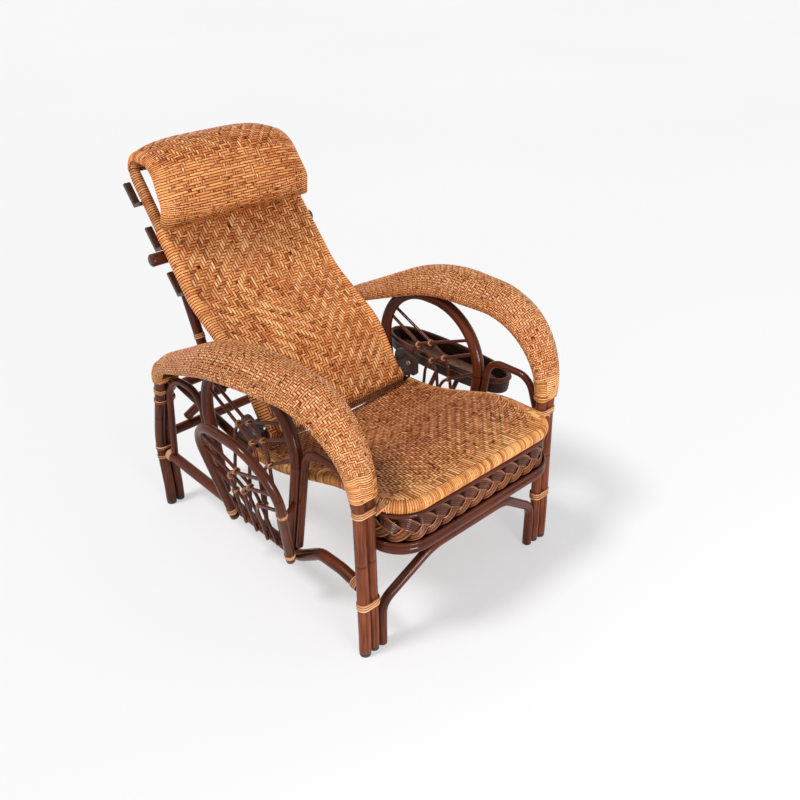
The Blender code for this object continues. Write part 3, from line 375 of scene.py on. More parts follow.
def woven(name, grid, hint, over, body, node, finishes, lift=LIFT, painted_shade=0.0, pale=0.0):
    """Two sets of strands through each other: over says where the upright ones lie on top, another where both get
    painted shade.

    pale raises the tone of the level strands. Here and there a crossing is painted dark with shade, as if a strand were
    sunk.
    """
    normals = outward(grid, hint)
    across, down = over.shape
    # painted shade: a few random crossings dark, as if a strand were sunk, plus any extra shade given
    dark = 0.8 * (CHANCE.random(over.shape) < 0.014) + painted_shade
    u, v = (np.arange(across) + 0.5) / across, (np.arange(down) + 0.5) / down
    u_ends, v_ends = np.concatenate([[0], u, [1]]), np.concatenate([[0], v, [1]])
    upright = [np.pad(a, ((0, 0), (1, 1)), "edge") for a in (over, dark, 0 * dark)]
    level = [np.pad(a, ((1, 1), (0, 0)), "edge").T for a in (~over, dark, 0 * dark + pale)]
    for way, v_way, u_way, (top, painted_shade_way, pale_way), finish in (
            ("upright", v_ends[None], u[:, None], upright, finishes[0]),
            ("level", v[:, None], u_ends[None], level, finishes[1])):
        skin = strands(grid, normals, v_way, u_way, top, lift, painted_shade_way, pale_way)
        piece(f"{name}_{way}_strands", [skin], finish, body, stands_for=[node])


def diamonds(i, j, over, under):
    """A twill that turns where i and j pass zero, so its diagonals close into diamonds. At times it misses a beat."""
    plan = (np.abs(i)[:, None] + np.abs(j)[None]) % (over + under) < over
    return plan ^ (CHANCE.random(plan.shape) < 0.02)


def saddle(a, b, thick_a, thick_b, crown, up, wrap, power=2, deep=0.0):
    """The middle of a weave laid over two poles: an arc round pole a, a low arch and an arc round pole b.

    The arch is 1 - |2f - 1| ** power of the share f across it, times the crown at the row. Every row is spaced evenly
    by length, first along the arc of wrap degrees, then the arch, then the other arc. Half round each pole the arc runs
    straight back by deep before it goes on.
    """
    turn, columns = math.radians(wrap), 180
    parts = []
    for path, thick, sign in ((a, thick_a, -1), (b, thick_b, 1)):
        across, top = cross_axes(directions(path), b - a)
        top = top * np.sign(np.sum(top * up(path), axis=1, keepdims=True))
        parts.append((path, (thick / 2 + GAP) * WRAP + LIFT, sign * across, top))
    first, last = (path + radius * top for path, radius, across, top in parts)
    deep = np.broadcast_to(deep, len(a))[:, None]
    rise = crown(along(a) / along(a)[-1])[:, None]
    span = np.linalg.norm(last - first, axis=1, keepdims=True)
    arcs = [radius * turn + deep for path, radius, across, top in parts]
    s = np.linspace(0, 1, columns)[None] * (arcs[0] + span + arcs[1])
    rounds = []
    for (path, radius, across, top), back in zip(parts, (arcs[0] - s, s - arcs[0] - span)):
        past = np.clip(back - radius * math.pi / 2, 0, deep)
        angle = ((np.clip(back, 0, None) - past) / radius)[..., None]
        rounds.append(path[:, None] + radius * (np.cos(angle) * top[:, None] + np.sin(angle) * across[:, None])
                      - past[..., None] * top[:, None])
    f = np.clip((s - arcs[0]) / span, 0, 1)[..., None]
    arch = first[:, None] + (last - first)[:, None] * f
    arch = arch + parts[0][3][:, None] * (rise[:, None] * (1 - np.abs(2 * f - 1) ** power))
    s = s[..., None]
    return np.where(s < arcs[0][..., None], rounds[0], np.where(s > (arcs[0] + span)[..., None], rounds[1], arch))


# ---- finishes

class Tint:
    """One value of a finish. Arithmetic on tints adds Math nodes, and add() puts in any other node."""

    def __init__(self, tree, socket=None):
        self.tree = tree
        self.socket = socket

    def add(self, kind, settings=None, values=None, out=0):
        """A new node: its settings first, then the values or links of its sockets. Gives one of its outputs."""
        node = self.tree.nodes.new(kind)
        for key, value in (settings or {}).items():
            setattr(node, key, value)
        for key, value in (values or {}).items():
            if isinstance(value, Tint):
                self.tree.links.new(value.socket, node.inputs[key])
            else:
                node.inputs[key].default_value = value
        return Tint(self.tree, node.outputs[out])

    def sum(self, operation, *terms):
        return self.add("ShaderNodeMath", {"operation": operation}, dict(enumerate(terms)))

    def __add__(self, other):
        return self.sum("ADD", self, other)

    def __radd__(self, other):
        return self.sum("ADD", other, self)

    def __sub__(self, other):
        return self.sum("SUBTRACT", self, other)

    def __rsub__(self, other):
        return self.sum("SUBTRACT", other, self)

    def __mul__(self, other):
        return self.sum("MULTIPLY", self, other)

    def __rmul__(self, other):
        return self.sum("MULTIPLY", other, self)

    def ramp(self, low, high):
        """Zero below low, one above high."""
        return self.add("ShaderNodeMapRange", {"clamp": True}, {0: self, 1: low, 2: high})

    def mixed(self, first, second):
        """From the first colour at 0 to the second at 1. A colour is a tint, or its red, green and blue."""
        first, second = (c if isinstance(c, Tint) else (*c, 1.0) for c in (first, second))
        return self.add("ShaderNodeMix", {"data_type": "RGBA"}, {0: self, 6: first, 7: second}, 2)

    def noise(self, vector, scale, detail=2.0, rough=0.5):
        values = {"Vector": vector, "Scale": scale, "Detail": detail, "Roughness": rough}
        return self.add("ShaderNodeTexNoise", {}, values)

    def bump(self, height, strength):
        """A normal raised and sunk by a height of at most 0.6 mm."""
        return self.add("ShaderNodeBump", {}, {"Strength": strength, "Distance": 0.0006, "Height": height})

    def attribute(self, name):
        return self.add("ShaderNodeAttribute", {"attribute_name": name}, {}, 2)

    def object_place(self):
        return self.add("ShaderNodeTexCoord", {}, {}, 3)

    def strand_map(self):
        """The map of a strand or pole: its share round, and its distance along."""
        return self.add("ShaderNodeUVMap", {"uv_map": "strand"})

    def part(self, axis):
        """One of the three numbers of a vector."""
        return self.add("ShaderNodeSeparateXYZ", {}, {0: self}, axis)

    def round_and_along(self, round_scale, along_scale):
        """A vector that goes round a strand or pole without a seam and on along it, from its own map."""
        uv = self.strand_map()
        u = uv.part(0) * (2 * math.pi)
        return self.add("ShaderNodeCombineXYZ", {}, {
            0: self.sum("COSINE", u) * round_scale, 1: self.sum("SINE", u) * round_scale, 2: uv.part(1) * along_scale})


def finish(name, paint, **plain):
    """A material whose paint gives what varies, and whose plain values are set on the shader itself."""
    made = bpy.data.materials.new(name)
    made.use_nodes = True
    shader = made.node_tree.nodes["Principled BSDF"]
    for key, value in plain.items():
        shader.inputs[key.replace("_", " ").title().replace("Ior", "IOR")].default_value = value
    for key, value in paint(Tint(made.node_tree)).items():
        made.node_tree.links.new(value.socket, shader.inputs[key])
    return made


def cane_paint(pale, honey, dark, *golden):
    """Split cane: strands from honey to pale, some of them stained, with painted shade under others and at edges, and
    long fibres.

    golden gives two more colours, honey and pale, for the seat's front and sides, where its strands are lighter.
    """
    def paint(t):
        place, tone, depth = t.object_place(), t.attribute("tone"), t.attribute("depth")
        fibre = t.noise(t.round_and_along(0.9, 40.0), 6.0)
        cloud = t.noise(place, 6.0, 3.0)
        fleck = t.noise(place, 130.0).ramp(0.62, 0.72)
        shade = (tone * 1.20 + cloud * 1.0 + fibre * 0.7 - 1.10).ramp(0.0, 1.0)
        base = shade.mixed(honey, pale)
        if golden:
            front = 1.0 - (place.part(1) + cloud * 0.07).ramp(-0.475, -0.325)
            sides = (t.sum("ABSOLUTE", place.part(0)) + cloud * 0.04).ramp(0.245, 0.285)
            base = t.sum("MAXIMUM", front, sides * 0.6).mixed(base, shade.mixed(*golden))
        stain = 1.0 - tone.ramp(0.06, 0.20)
        # painted shade where a strand lies under others or at its edges (depth), mixed with dark flecks and real stains
        wear_and_painted_light = (depth * 0.94 + fleck * 0.45 + stain * 0.40).ramp(0.0, 1.0).mixed(base, dark)
        return {"Base Color": wear_and_painted_light, "Roughness": 0.30 + 0.20 * fibre + 0.25 * depth,
                "Coat Weight": (0.5 - 0.7 * depth).ramp(0.0, 1.0), "Normal": t.bump(fibre, 0.25)}
    return paint


def pole_paint(dark, red, wear_and_painted_light, legs=False):
    """Stained rattan pole: long streaks from dark to red brown, fine grain, and a thin dark ring at each cane joint.

    legs paints light on the front legs, a little redder, and painted shade on the run behind them, darker.
    """
    def paint(t):
        place = t.object_place()
        streak = t.noise(t.round_and_along(1.4, 5.0), 1.3, 3.0, 0.6)
        grain = t.noise(t.round_and_along(9.0, 9.0), 2.2, 3.0)
        cloud = t.noise(place, 6.0)
        joint = t.sum("PINGPONG", t.strand_map().part(1) * 3.1 + 0.2, 0.5)
        ring = 1.0 - joint.ramp(0.004, 0.014)
        shade = (streak * 1.5 + grain * 0.7 + cloud * 0.5 - 0.95).ramp(0.0, 0.80)
        # painted light: the front legs lit a little redder, and painted shade on the rest of the loop behind them
        if legs:
            shade = shade - 0.27 + 0.30 * (1.0 - place.part(1).ramp(-0.47, -0.38))
        base = shade.mixed(dark, red)
        rub = (cloud * 1.2 + grain * 0.7 - 0.76).ramp(0.2, 0.9)
        base = (rub * 0.5).mixed(base, wear_and_painted_light)
        base = (ring * 0.6).mixed(base, dark)
        return {"Base Color": base, "Roughness": 0.22 + 0.22 * grain, "Normal": t.bump(grain - ring, 0.14)}
    return paint


def sawn_paint(dark, red):
    """A sawn or forged piece in one dark tone, clouded and worn, from its place on the chair."""
    def paint(t):
        place = t.object_place()
        cloud = t.noise(place, 14.0, 4.0)
        grain = t.noise(place, 120.0)
        base = (cloud * 1.3 + grain * 0.4 - 0.45).ramp(0.0, 1.0).mixed(dark, red)
        return {"Base Color": base, "Roughness": 0.30 + 0.25 * cloud, "Normal": t.bump(grain, 0.15)}
    return paint


# Poles: the dark of their streaks, the red, and the worn spots
POLISH = {"specular_ior_level": 0.06, "coat_weight": 0.30, "coat_roughness": 0.08}
STAINED, LEG_PAINTED_LIGHT, FINE = (finish(name, pole_paint(*colours), **POLISH) for name, *colours in (
    ("dark_stained_rattan", (0.019, 0.0044, 0.0022), (0.142, 0.028, 0.0085), (0.200, 0.052, 0.021)),
    # the legs' finish: a lit copy of the stained rattan, with a brighter red, painted light on the front legs and
    # painted shade behind
    ("dark_stained_leg_painted_light", (0.017, 0.0040, 0.0020), (0.250, 0.057, 0.0180), (0.280, 0.078, 0.030), True),
    ("dark_stained_stick", (0.026, 0.0062, 0.0030), (0.130, 0.030, 0.0105), (0.200, 0.062, 0.028))))

# Canes: the palest strands, the plain ones, the dark of stains and of the painted shade between them, and the seat's
# golden colours
GLOSS = {"specular_ior_level": 0.02, "coat_roughness": 0.20}
CANE, CANE_LEVEL, SEAT_CANE, SEAT_LEVEL, EDGE_CANE, ARM_CANE, ARM_LEVEL, BINDING, KNOT = (
    finish(name, cane_paint(*colours), **GLOSS) for name, *colours in (
        ("woven_honey_cane", (0.98, 0.53, 0.220), (0.53, 0.150, 0.035), (0.060, 0.0130, 0.0030)),
        ("woven_honey_cane_level", (0.90, 0.37, 0.120), (0.50, 0.124, 0.025), (0.058, 0.0120, 0.0028)),
        ("woven_seat_cane", (0.80, 0.36, 0.155), (0.38, 0.114, 0.038), (0.045, 0.0105, 0.0034),
         (0.58, 0.200, 0.054), (0.96, 0.54, 0.21)),
        ("woven_seat_cane_level", (0.72, 0.28, 0.110), (0.31, 0.084, 0.026), (0.042, 0.0100, 0.0030),
         (0.52, 0.160, 0.040), (0.88, 0.44, 0.155)),
        ("golden_edge_cane", (0.96, 0.51, 0.185), (0.55, 0.182, 0.045), (0.072, 0.0170, 0.0042)),
        ("woven_arm_cane", (0.86, 0.47, 0.225), (0.60, 0.212, 0.070), (0.075, 0.018, 0.0055)),
        ("woven_arm_cane_level", (0.82, 0.39, 0.155), (0.53, 0.168, 0.047), (0.070, 0.016, 0.0050)),
        ("pale_cane_binding", (0.88, 0.50, 0.26), (0.56, 0.235, 0.095), (0.090, 0.0260, 0.0100)),
        ("brown_cane_knot", (0.56, 0.27, 0.125), (0.30, 0.110, 0.045), (0.050, 0.0140, 0.0060))))
PLAIT = finish("dark_plaited_strip", cane_paint((0.40, 0.145, 0.058), (0.070, 0.0165, 0.0056), (0.012, 0.0034, 0.0018)),
               specular_ior_level=0.03, coat_roughness=0.14)
MESH_BED = finish("woven_tray_bed", cane_paint((0.42, 0.23, 0.135), (0.25, 0.120, 0.068), (0.055, 0.022, 0.013)),
                  specular_ior_level=0.3)

# Sawn, pressed and moulded pieces: the darker and the lighter of their clouds
SAWN, STEEL, BOLT, RUBBER, PAN = (finish(name, sawn_paint(*colours), **plain) for name, plain, *colours in (
    ("stained_strip", {"coat_weight": 0.2, "coat_roughness": 0.25}, (0.022, 0.007, 0.004), (0.080, 0.023, 0.012)),
    ("blackened_steel", {"specular_ior_level": 0.25}, (0.024, 0.011, 0.008), (0.075, 0.036, 0.026)),
    ("worn_steel_bolt", {"metallic": 0.9}, (0.28, 0.25, 0.22), (0.55, 0.51, 0.46)),
    ("black_rubber", {}, (0.012, 0.012, 0.013), (0.030, 0.029, 0.030)),
    ("woven_tray_wall", {"specular_ior_level": 0.2}, (0.022, 0.009, 0.005), (0.075, 0.030, 0.016))))


# ---- arms and legs

def rail_height(y):
    """Middle height of a lower side rail behind its hump."""
    return RAIL_LOW[1] + RAIL_SLOPE * (y - RAIL_LOW[0])


def foot_height(y, diameter):
    """Height of a pole's sawn foot on the rail."""
    return rail_height(y) + RAIL / 2 + GAP + RAIL_SLOPE * diameter / 2 + 0.0004


def rear_leg(z):
    """Middle of the rear legs at a height below the arms."""
    return float(np.interp(z, (0.060, 0.210, 0.390), (REAR_FOOT, 0.858, 0.814)))


def arm_out(points):
    """Roughly outward from a line under the middle of the arms."""
    return points * (0, 1, 1) - (0, 0.40, 0.25)


ARMS = {}
CUFF_ROWS = 12
for side, sign in SIDES:
    for ring, leg_x, arm_x, thick in (("outer", OUTER_X, 0.412, OUTER_ARM), ("inner", INNER_X, 0.277, INNER_ARM)):
        front_x, rear_x = (leg_x + (arm_x - leg_x) * spread for spread in (0.40, 0.22))
        corners = [(leg_x, 0.0, GLIDE + GAP), (leg_x, 0.0, 0.060), (leg_x, 0.010, 0.420), (front_x, 0.010, 0.645),
                   (arm_x, 0.400, 0.635), (rear_x, 0.772, 0.482), (leg_x, 0.814, 0.390), (leg_x, 0.858, 0.210),
                   (leg_x, REAR_FOOT, 0.060), (leg_x, REAR_FOOT, GLIDE + GAP)]
        path = bend(corners, [0.25, 0.25, 0.195, 0.5, 0.14, 0.25, 0.25, 0.25], [5, 10, 30, 25, 25, 10, 15, 5])
        ARMS[side, ring] = path * (sign, 1, 1)
        pole(f"arm_pole_{ring}_{side}", ARMS[side, ring], thick, ACROSS, finish=LEG_PAINTED_LIGHT)
    inner, outer = ARMS[side, "inner"], ARMS[side, "outer"]
    first, last = crossing(outer[:, 2], 0.447), crossing(outer[:, 2], 0.430, True)
    grid = even_rows(saddle(between(inner, first, last), between(outer, first, last), INNER_ARM, OUTER_ARM,
                            lambda f: 0.036 * np.sin(math.pi * f ** 0.80), arm_out, wrap=180))
    count, rows = 40, row_count(grid, 0.0058)
    turning = np.abs((np.arange(count) + 5) % 10 - 5)[:, None]
    plan = (turning + np.arange(rows)[None]) % 4 < 2
    plan ^= CHANCE.random(plan.shape) < 0.015
    # the front end is wound close: in its first rows the level strands lie on top all the way round
    plan[:, :CUFF_ROWS] = False
    woven(f"arm_{side}", grid, arm_out(grid), plan, "frame", f"arm_weave_{side}", (ARM_CANE, ARM_LEVEL), lift=0.0010,
          pale=0.35 * (np.arange(rows) < CUFF_ROWS)[None])


# ---- side frames

def wheel_front(z):
    """Middle of the side wheel's leaning front at a height."""
    return WHEEL_FRONT + WHEEL_LEAN * (WHEEL_TOP - z)


def wheel_rear(z):
    """Middle of the side wheel's leaning rear at a height."""
    return WHEEL_REAR - WHEEL_LEAN * (WHEEL_TOP - z)


def bowed(rim, foot, face):
    """A trellis stick from the rim to its foot, bowed upwards in its own plane."""
    rim = np.asarray(rim)
    chord = np.asarray(foot) - rim
    up = np.cross(face, chord) / np.linalg.norm(face)
    up = up * np.sign(up[2])
    return bend([rim, rim + 0.47 * chord + 0.28 * up, foot], [0.070])


def lashing(spot, along_a, along_b, face, wide, deep, strand, count):
    """Crossed lashing of two poles: for each diagonal between them, rings of cane side by side round both.

    A ring is an ellipse: wide square to its diagonal in the plane of the poles, and deep along the face.
    """
    face = unit(np.asarray(face, float))
    turn = circle(24)[:, None]
    skins = []
    for layer, slant in enumerate((unit(along_a + along_b), unit(along_a - along_b))):
        square = unit(np.cross(face, slant))
        for step in (np.arange(count) - (count - 1) / 2) * strand * 0.92:
            half, high = wide + 0.6 * abs(step) + 0.5 * layer * strand, deep + 0.6 * layer * strand
            ring = spot + step * slant + half * np.cos(turn) * square + high * np.sin(turn) * face
            skins.append(rod(ring, strand, slant, sides=6, step=0.004, loop=True, tone=CHANCE.random()))
    return skins


def ties(sticks_a, sticks_b, face):
    """A small crossed lashing at each place where two sets of sticks meet away from their ends."""
    skins = []
    for one in sticks_a:
        for two in sticks_b:
            a, b = evenly(one, 0.002), evenly(two, 0.002)
            far = np.linalg.norm(a[:, None] - b[None], axis=2)
            i, j = np.unravel_index(np.argmin(far), far.shape)
            if far[i, j] > 0.008 or min(i, len(a) - i) < 8 or min(j, len(b) - j) < 8:
                continue
            skins += lashing((a[i] + b[j]) / 2, directions(a)[i], directions(b)[j], face,
                             wide=0.0056, deep=0.0080, strand=0.0024, count=3)
    return skins


def trellis(sticks, knots, node, sets, face):
    """Two crossed sets of sticks, and the ties where they meet."""
    skins = [rod(stick, STICK, face, sides=10) for stick in sets[0] + sets[1]]
    piece(sticks, skins, FINE, stands_for=[node], crisp=50)
    piece(knots, ties(*sets, face), KNOT)


def band(path, spot, turns, radius):
    """Cane wound a few turns round a pole where it passes nearest to a spot."""
    strand = 0.0050
    run = along(path)
    fine = np.linspace(0, run[-1], 900)
    where = fine[np.argmin(np.linalg.norm(at(path, fine) - np.asarray(spot), axis=1))]
    half = turns * strand / 2
    where = min(max(where, half), run[-1] - half)
    short = at(path, where + np.linspace(-half, half, 9))
    return winding(short, short, ACROSS, radius, strand, bulge=0.0016)


RAILS = {}
LAYER = 0.003  # the two sets of a trellis lie this far in front of and behind its middle
for side, sign in SIDES:
    x = sign * LEG_X
    # the rail ends against the front leg, which leans back by 0.010 over 0.36, and against the rear leg
    front_stop = 0.010 * (RAIL_FRONT - 0.060) / 0.36 + RAIL / 2 + 0.0095
    rear_stop = rear_leg(RAIL_REAR) - RAIL / 2 - 0.002
    rail = bend([(x, rear_stop, rail_height(rear_stop)), (x, *RAIL_LOW), (x, *RAIL_HUMP[0]), (x, *RAIL_HUMP[1]),
                 (x, front_stop, RAIL_FRONT)], [0.05, 0.05, 0.05])
    RAILS[side] = rail
    pole(f"side_rail_{side}", rail, RAIL, ACROSS)
    front_foot, rear_foot = wheel_front(WHEEL_FOOT), wheel_rear(WHEEL_FOOT)
    lean = WHEEL_LEAN * WHEEL / 2
    hoop = bend([(x, front_foot, foot_height(front_foot, WHEEL) + lean), (x, WHEEL_FRONT, WHEEL_TOP),
                 (x, WHEEL_REAR, WHEEL_TOP), (x, rear_foot, foot_height(rear_foot, WHEEL) + lean)], [0.168, 0.168])
    pole(f"wheel_hoop_{side}", hoop, WHEEL, ACROSS)
    sets = [[bowed(nearest(hoop, (x, edge(z), z)), (x, y, foot_height(y, STICK)), ACROSS) + (sign * layer, 0, 0)
             for z, y in zip(np.linspace(*rims), np.linspace(*feet))]
            for edge, rims, feet, layer in ((wheel_front, (0.545, 0.425, 3), (0.525, 0.385, 3), -LAYER),
                                            (wheel_rear, (0.560, 0.500, 2), (0.318, 0.378, 2), LAYER))]
    trellis(f"wheel_sticks_{side}", f"wheel_lashings_{side}", f"wheel_trellis_{side}", sets, ACROSS)
    step = ((WHEEL + ARCH) / 2 + 0.0008) * math.hypot(1.0, WHEEL_LEAN)
    foot_y = wheel_rear(WHEEL_FOOT + 0.008) + step
    rear = bend([(x, 0.808, foot_height(0.808, ARCH) + 0.0008), (x, 0.786, 0.442), (x, wheel_rear(0.442) + step, 0.442),
                 (x, foot_y, foot_height(foot_y, ARCH) + WHEEL_LEAN * ARCH / 2)], [0.085, 0.060])
    pole(f"rear_arch_{side}", rear, ARCH, ACROSS)
    front = bend([(x, 0.036, 0.392), (x, 0.066, 0.476), (x, wheel_front(0.476) - step, 0.476),
                  (x, wheel_front(0.172) - step, 0.172)], [0.05, 0.05])
    pole(f"front_arch_{side}", front, ARCH, ACROSS)


# ---- seat

seat = bend(mirrored([(SEAT_REAR_X, 0.834, 0.394), (SEAT_X, 0.430, 0.306), (SEAT_X, 0.120, SEAT_HIGH),
                      (SEAT_X, SEAT_FRONT, SEAT_HIGH)]), [0.50, 0.30, 0.075, 0.075, 0.30, 0.50])
pole("seat_pole", seat, SEAT_POLE, UP)
side_run = seat[: len(seat) // 2]
side_run = side_run[side_run[:, 0] > SEAT_X - 0.001][::-1]


def seat_side(y):
    """Middle of the seat pole's right side run at y: its x and its height."""
    return np.interp(y, side_run[:, 1], side_run[:, 0]), np.interp(y, side_run[:, 1], side_run[:, 2])


def cross_pole(name, y, diameter):
    """A straight pole between the two side runs of the seat pole."""
    x, z = (float(value) for value in seat_side(y))
    run = level_run(x - SEAT_POLE / 2 - GAP, y, z)
    pole(name, run, diameter, UP)
    return evenly(run, 0.05)


rear_rail = cross_pole("seat_cross_rail", 0.478, CROSS_RAIL)
piece("seat_rear_winding", [winding(rear_rail, rear_rail, UP, CROSS_RAIL / 2 + 0.0004, strand=0.0062, bulge=0.0016,
                                    sides=16, even=0.6)], SEAT_CANE, stands_for=["seat_weave"])
cross_pole("rear_stretcher_high", HIGH_REAR_Y, STRETCHER)
cross_pole("prop_axle", AXLE_Y, AXLE)


def seat_field():
    """The woven field inside the rolled edge: height follows the side poles and sags by a cosine across the chair."""
    half_width, front, corner = SEAT_X - 0.004, SEAT_FRONT + 0.004, 0.071
    u, v = np.meshgrid(np.linspace(-1, 1, 160), np.linspace(0, 1, 170))
    x = u * half_width
    over_corner = np.clip(np.abs(x) - (half_width - corner), 0, corner)
    rounding = front + corner - np.sqrt(corner ** 2 - over_corner ** 2) - SEAT_FRONT - 0.004
    y = front * (1 - v) + SEAT_REAR_EDGE * v + rounding * (1 - v) ** 3
    sag = 0.014 * np.cos(u * math.pi / 2) * np.sin(np.clip(v / 0.28, 0, 1) * math.pi / 2)
    z = seat_side(y)[1] + 0.0140 - sag - 0.007 * smooth(v, 0.975, 1.0)
    return np.stack([x, y, z], axis=-1)


across, down = 66, 68
plan = diamonds(np.arange(across) - across // 2, np.arange(down) - down // 2, over=2, under=2)
# at the front and sides the strands that go round the edge run on over the others for a few rows
plan |= np.arange(down)[None] < CHANCE.integers(2, 6, across)[:, None]
plan &= ~((from_edge(across)[:, None] < CHANCE.integers(1, 4, down)[None]) & (np.arange(down)[None] > 5))
woven("seat", seat_field(), UP, plan, "frame", "seat_weave", (SEAT_CANE, SEAT_LEVEL))
edge = between(seat, crossing(seat[:, 1], SEAT_REAR_EDGE), crossing(seat[:, 1], SEAT_REAR_EDGE, True))
piece("seat_rolled_edge", [winding(edge, edge, UP, radius=0.0140, strand=0.0052, bulge=0.0019, sides=18, even=0.15,
                                   groove=0.7)], EDGE_CANE, stands_for=["seat_weave"])


# ---- apron, braces and stretchers

apron_x = LEG_FACE - GAP - APRON_LOW / 2 + 0.0016
for name, height, thick in (("top", 0.381767, APRON_TOP), ("low", 0.293, APRON_LOW)):
    apron = bend(mirrored([(apron_x, 0.060, height), (apron_x, -0.060, height)]), [0.08, 0.08])
    pole(f"apron_rail_{name}", apron, thick, UP)


def plait(path, low, high, strip, count):
    """A flat plait of three strips: height is a sine of the distance run, and the step out of it a sine twice as fast.

    Every strip is six ribs side by side, wider in its upper half. The outer ribs carry a painted highlight, and in the
    lower half the ribs carry more of it, the outer and the middle ones most. Where a strip turns behind the others it
    gets painted shade. A thin dark sheet stands behind the strips as painted shade in the gaps.
    """
    run, out = along(path), level_out(path)
    middle, reach = (low + high) / 2, (high - low) / 2 - strip * 0.45
    s = np.linspace(0, run[-1], count * 60)
    facing = unit(at(out, s, run))
    shape = [(1.0, 0.0), (0.6, 1.0), (-0.6, 1.0), (-1.0, 0.0), (-0.6, -1.0), (0.6, -1.0)]
    skins = []
    for phase in np.arange(3) / 3:
        angle = 2 * math.pi * (s * count / run[-1] + phase)
        spot = at(path, s) * (1, 1, 0) + np.outer(middle + reach * np.sin(angle), UP)
        spot = spot + facing * (0.0030 * np.sin(2 * angle))[:, None]
        side = np.cross(facing, unit(np.gradient(spot, axis=0))) * (strip / 12 * (1 + 0.25 * np.sin(angle)))[:, None]
        low_half = smooth(-np.sin(angle), -0.3, 0.5)
        # painted shade where a strip turns behind the others
        depth = 0.9 * smooth(-np.sin(2 * angle), -0.2, 0.7)
        for rib in (-5, -3, -1, 1, 3, 5):
            line = spot + side * rib
            rings = np.stack([line + side * p * 0.96 + facing * 0.0011 * q for p, q in shape], axis=1)
            # painted highlight: the outer ribs paler all along, and the outer and middle ribs paler still in the lower
            # half
            wear_and_painted_light = {5: 0.30 + 0.36 * low_half, 3: 0.10 * low_half, 1: 0.34 * low_half}[abs(rib)]
            tone = 0.12 + wear_and_painted_light + 0.1 * CHANCE.random()
            skins.append(tubes(rings[None], along(line)[None], tone=tone[None], depth=depth[None]))
    # a dark sheet behind the strips: painted shade in the gaps between them
    back = at(path, s) * (1, 1, 0) - facing * 0.0048
    sheet = [(low - 0.003, 0.0006), (high - 0.001, 0.0006), (high - 0.001, -0.0006), (low - 0.003, -0.0006)]
    rings = np.stack([back + facing * q + np.array((0, 0, z)) for z, q in sheet], axis=1)
    return skins + [tubes(rings[None], s[None], tone=0.1, depth=0.85)]


strips = plait(apron, low=0.3085, high=0.3745, strip=0.028, count=5)
piece("apron_plait", strips, PLAIT, "frame", ["apron_braid"], crisp=60)
trim = apron + 0.0090 * level_out(apron) + (0, 0, 0.0163)
piece("apron_trim_pole", [rod(trim, TRIM, UP, sides=12)], STAINED)

half = [(BRACE_X, 0.0, 0.0), (BRACE_X, 0.0, 0.125), (0.130, -0.022, 0.228)]
pole("front_brace", bend(mirrored(half), [0.06, 0.10, 0.10, 0.06]), BRACE, REARWARD)
pole("rear_stretcher_low", level_run(LEG_FACE - 2 * GAP, rear_leg(LOW_REAR_Z), LOW_REAR_Z), STRETCHER, UP)
half = [(0.235, rear_leg(LOW_REAR_Z), LOW_REAR_Z + STRETCHER / 2 + 0.011),
        (0.110, HIGH_REAR_Y, float(seat_side(HIGH_REAR_Y)[1]) - STRETCHER / 2 - BRACE / 2 - GAP)]
pole("rear_brace", bend(mirrored(half), [0.10, 0.10]), BRACE, REARWARD)


# ---- back and headrest

START = unit(np.array(BACK_WAIST) - np.array(BACK_FOOT))
HINGE = np.array(BACK_FOOT) + START * 0.040
BACK_PITCH = 0.0076
WOUND = (STILE / 2 + GAP) * WRAP + 0.003  # how far the winding of a stile reaches from its middle
BAR = WOUND + GAP + 0.006  # how far behind a stile's middle the rear of the hooks' bar lies


def behind(distance, offset):
    """A point beside the straight upper stile: a distance up from the lumbar bend and an offset to the rear."""
    return LUMBAR + RISE * distance + BEHIND * offset


def up_stile(path):
    """Distance of each point of a path up from the lumbar bend, along the upper stile."""
    return (path[:, 1:] - LUMBAR) @ RISE


STILES = {}
for side, sign in SIDES:
    profile = [np.array(BACK_FOOT) + START * ROLL / 2, BACK_WAIST, LUMBAR, behind(BACK_LENGTH, 0.0),
               behind(BACK_LENGTH + 0.044, -0.006), behind(BACK_LENGTH - 0.030, -0.092),
               behind(BACK_LENGTH - 0.142, -0.0745), behind(BACK_LENGTH - 0.176, -2 * WOUND - 2 * GAP)]
    narrowing = (0, 0, 0, 0.45, 1.0, 0.9, 0.25, 0)
    corners = [(sign * (BACK_X - 0.018 * n), *p) for p, n in zip(profile, narrowing)]
    STILES[side] = bend(corners, [0.16, 0.25, 0.06, 0.020, 0.075, 0.030], [16, 16, 10, 16, 16, 16])

reached = up_stile(STILES["left"])[:int(np.argmax(STILES["left"][:, 2]))]
first = crossing(reached, BACK_LENGTH + 0.005)
uppers = [between(STILES[side], 0.0, first) for side, sign in SIDES]
bows = [between(STILES[side], first, len(STILES[side]) - 1.0) for side, sign in SIDES]


def bar_depth(path):
    """How far behind a stile the bar of the hooks reaches under the winding, along the upper stile alone."""
    distance = up_stile(path)
    return 0.0086 * smooth(distance, -0.02, 0.05) * (1 - smooth(distance, BACK_LENGTH - 0.02, BACK_LENGTH + 0.02))


for (side, sign), upper, bow in zip(SIDES, uppers, bows):
    upper, bow = evenly(upper, 0.004), evenly(bow, 0.004)
    bar = upper + bar_depth(upper)[:, None] * np.array((0.0, *BEHIND))
    skins = [winding(*poles, facing, radius, strand=0.0064, bulge=bulge, sides=16, even=0.5)
             for poles, facing, radius, bulge in (((upper, bar), REARWARD, 0.0121, 0.0018),
                                                  ((bow, bow), ACROSS, 0.0123, 0.0020))]
    piece(f"stile_winding_{side}", skins, CANE, "back", stands_for=[f"back_stile_{side}"])

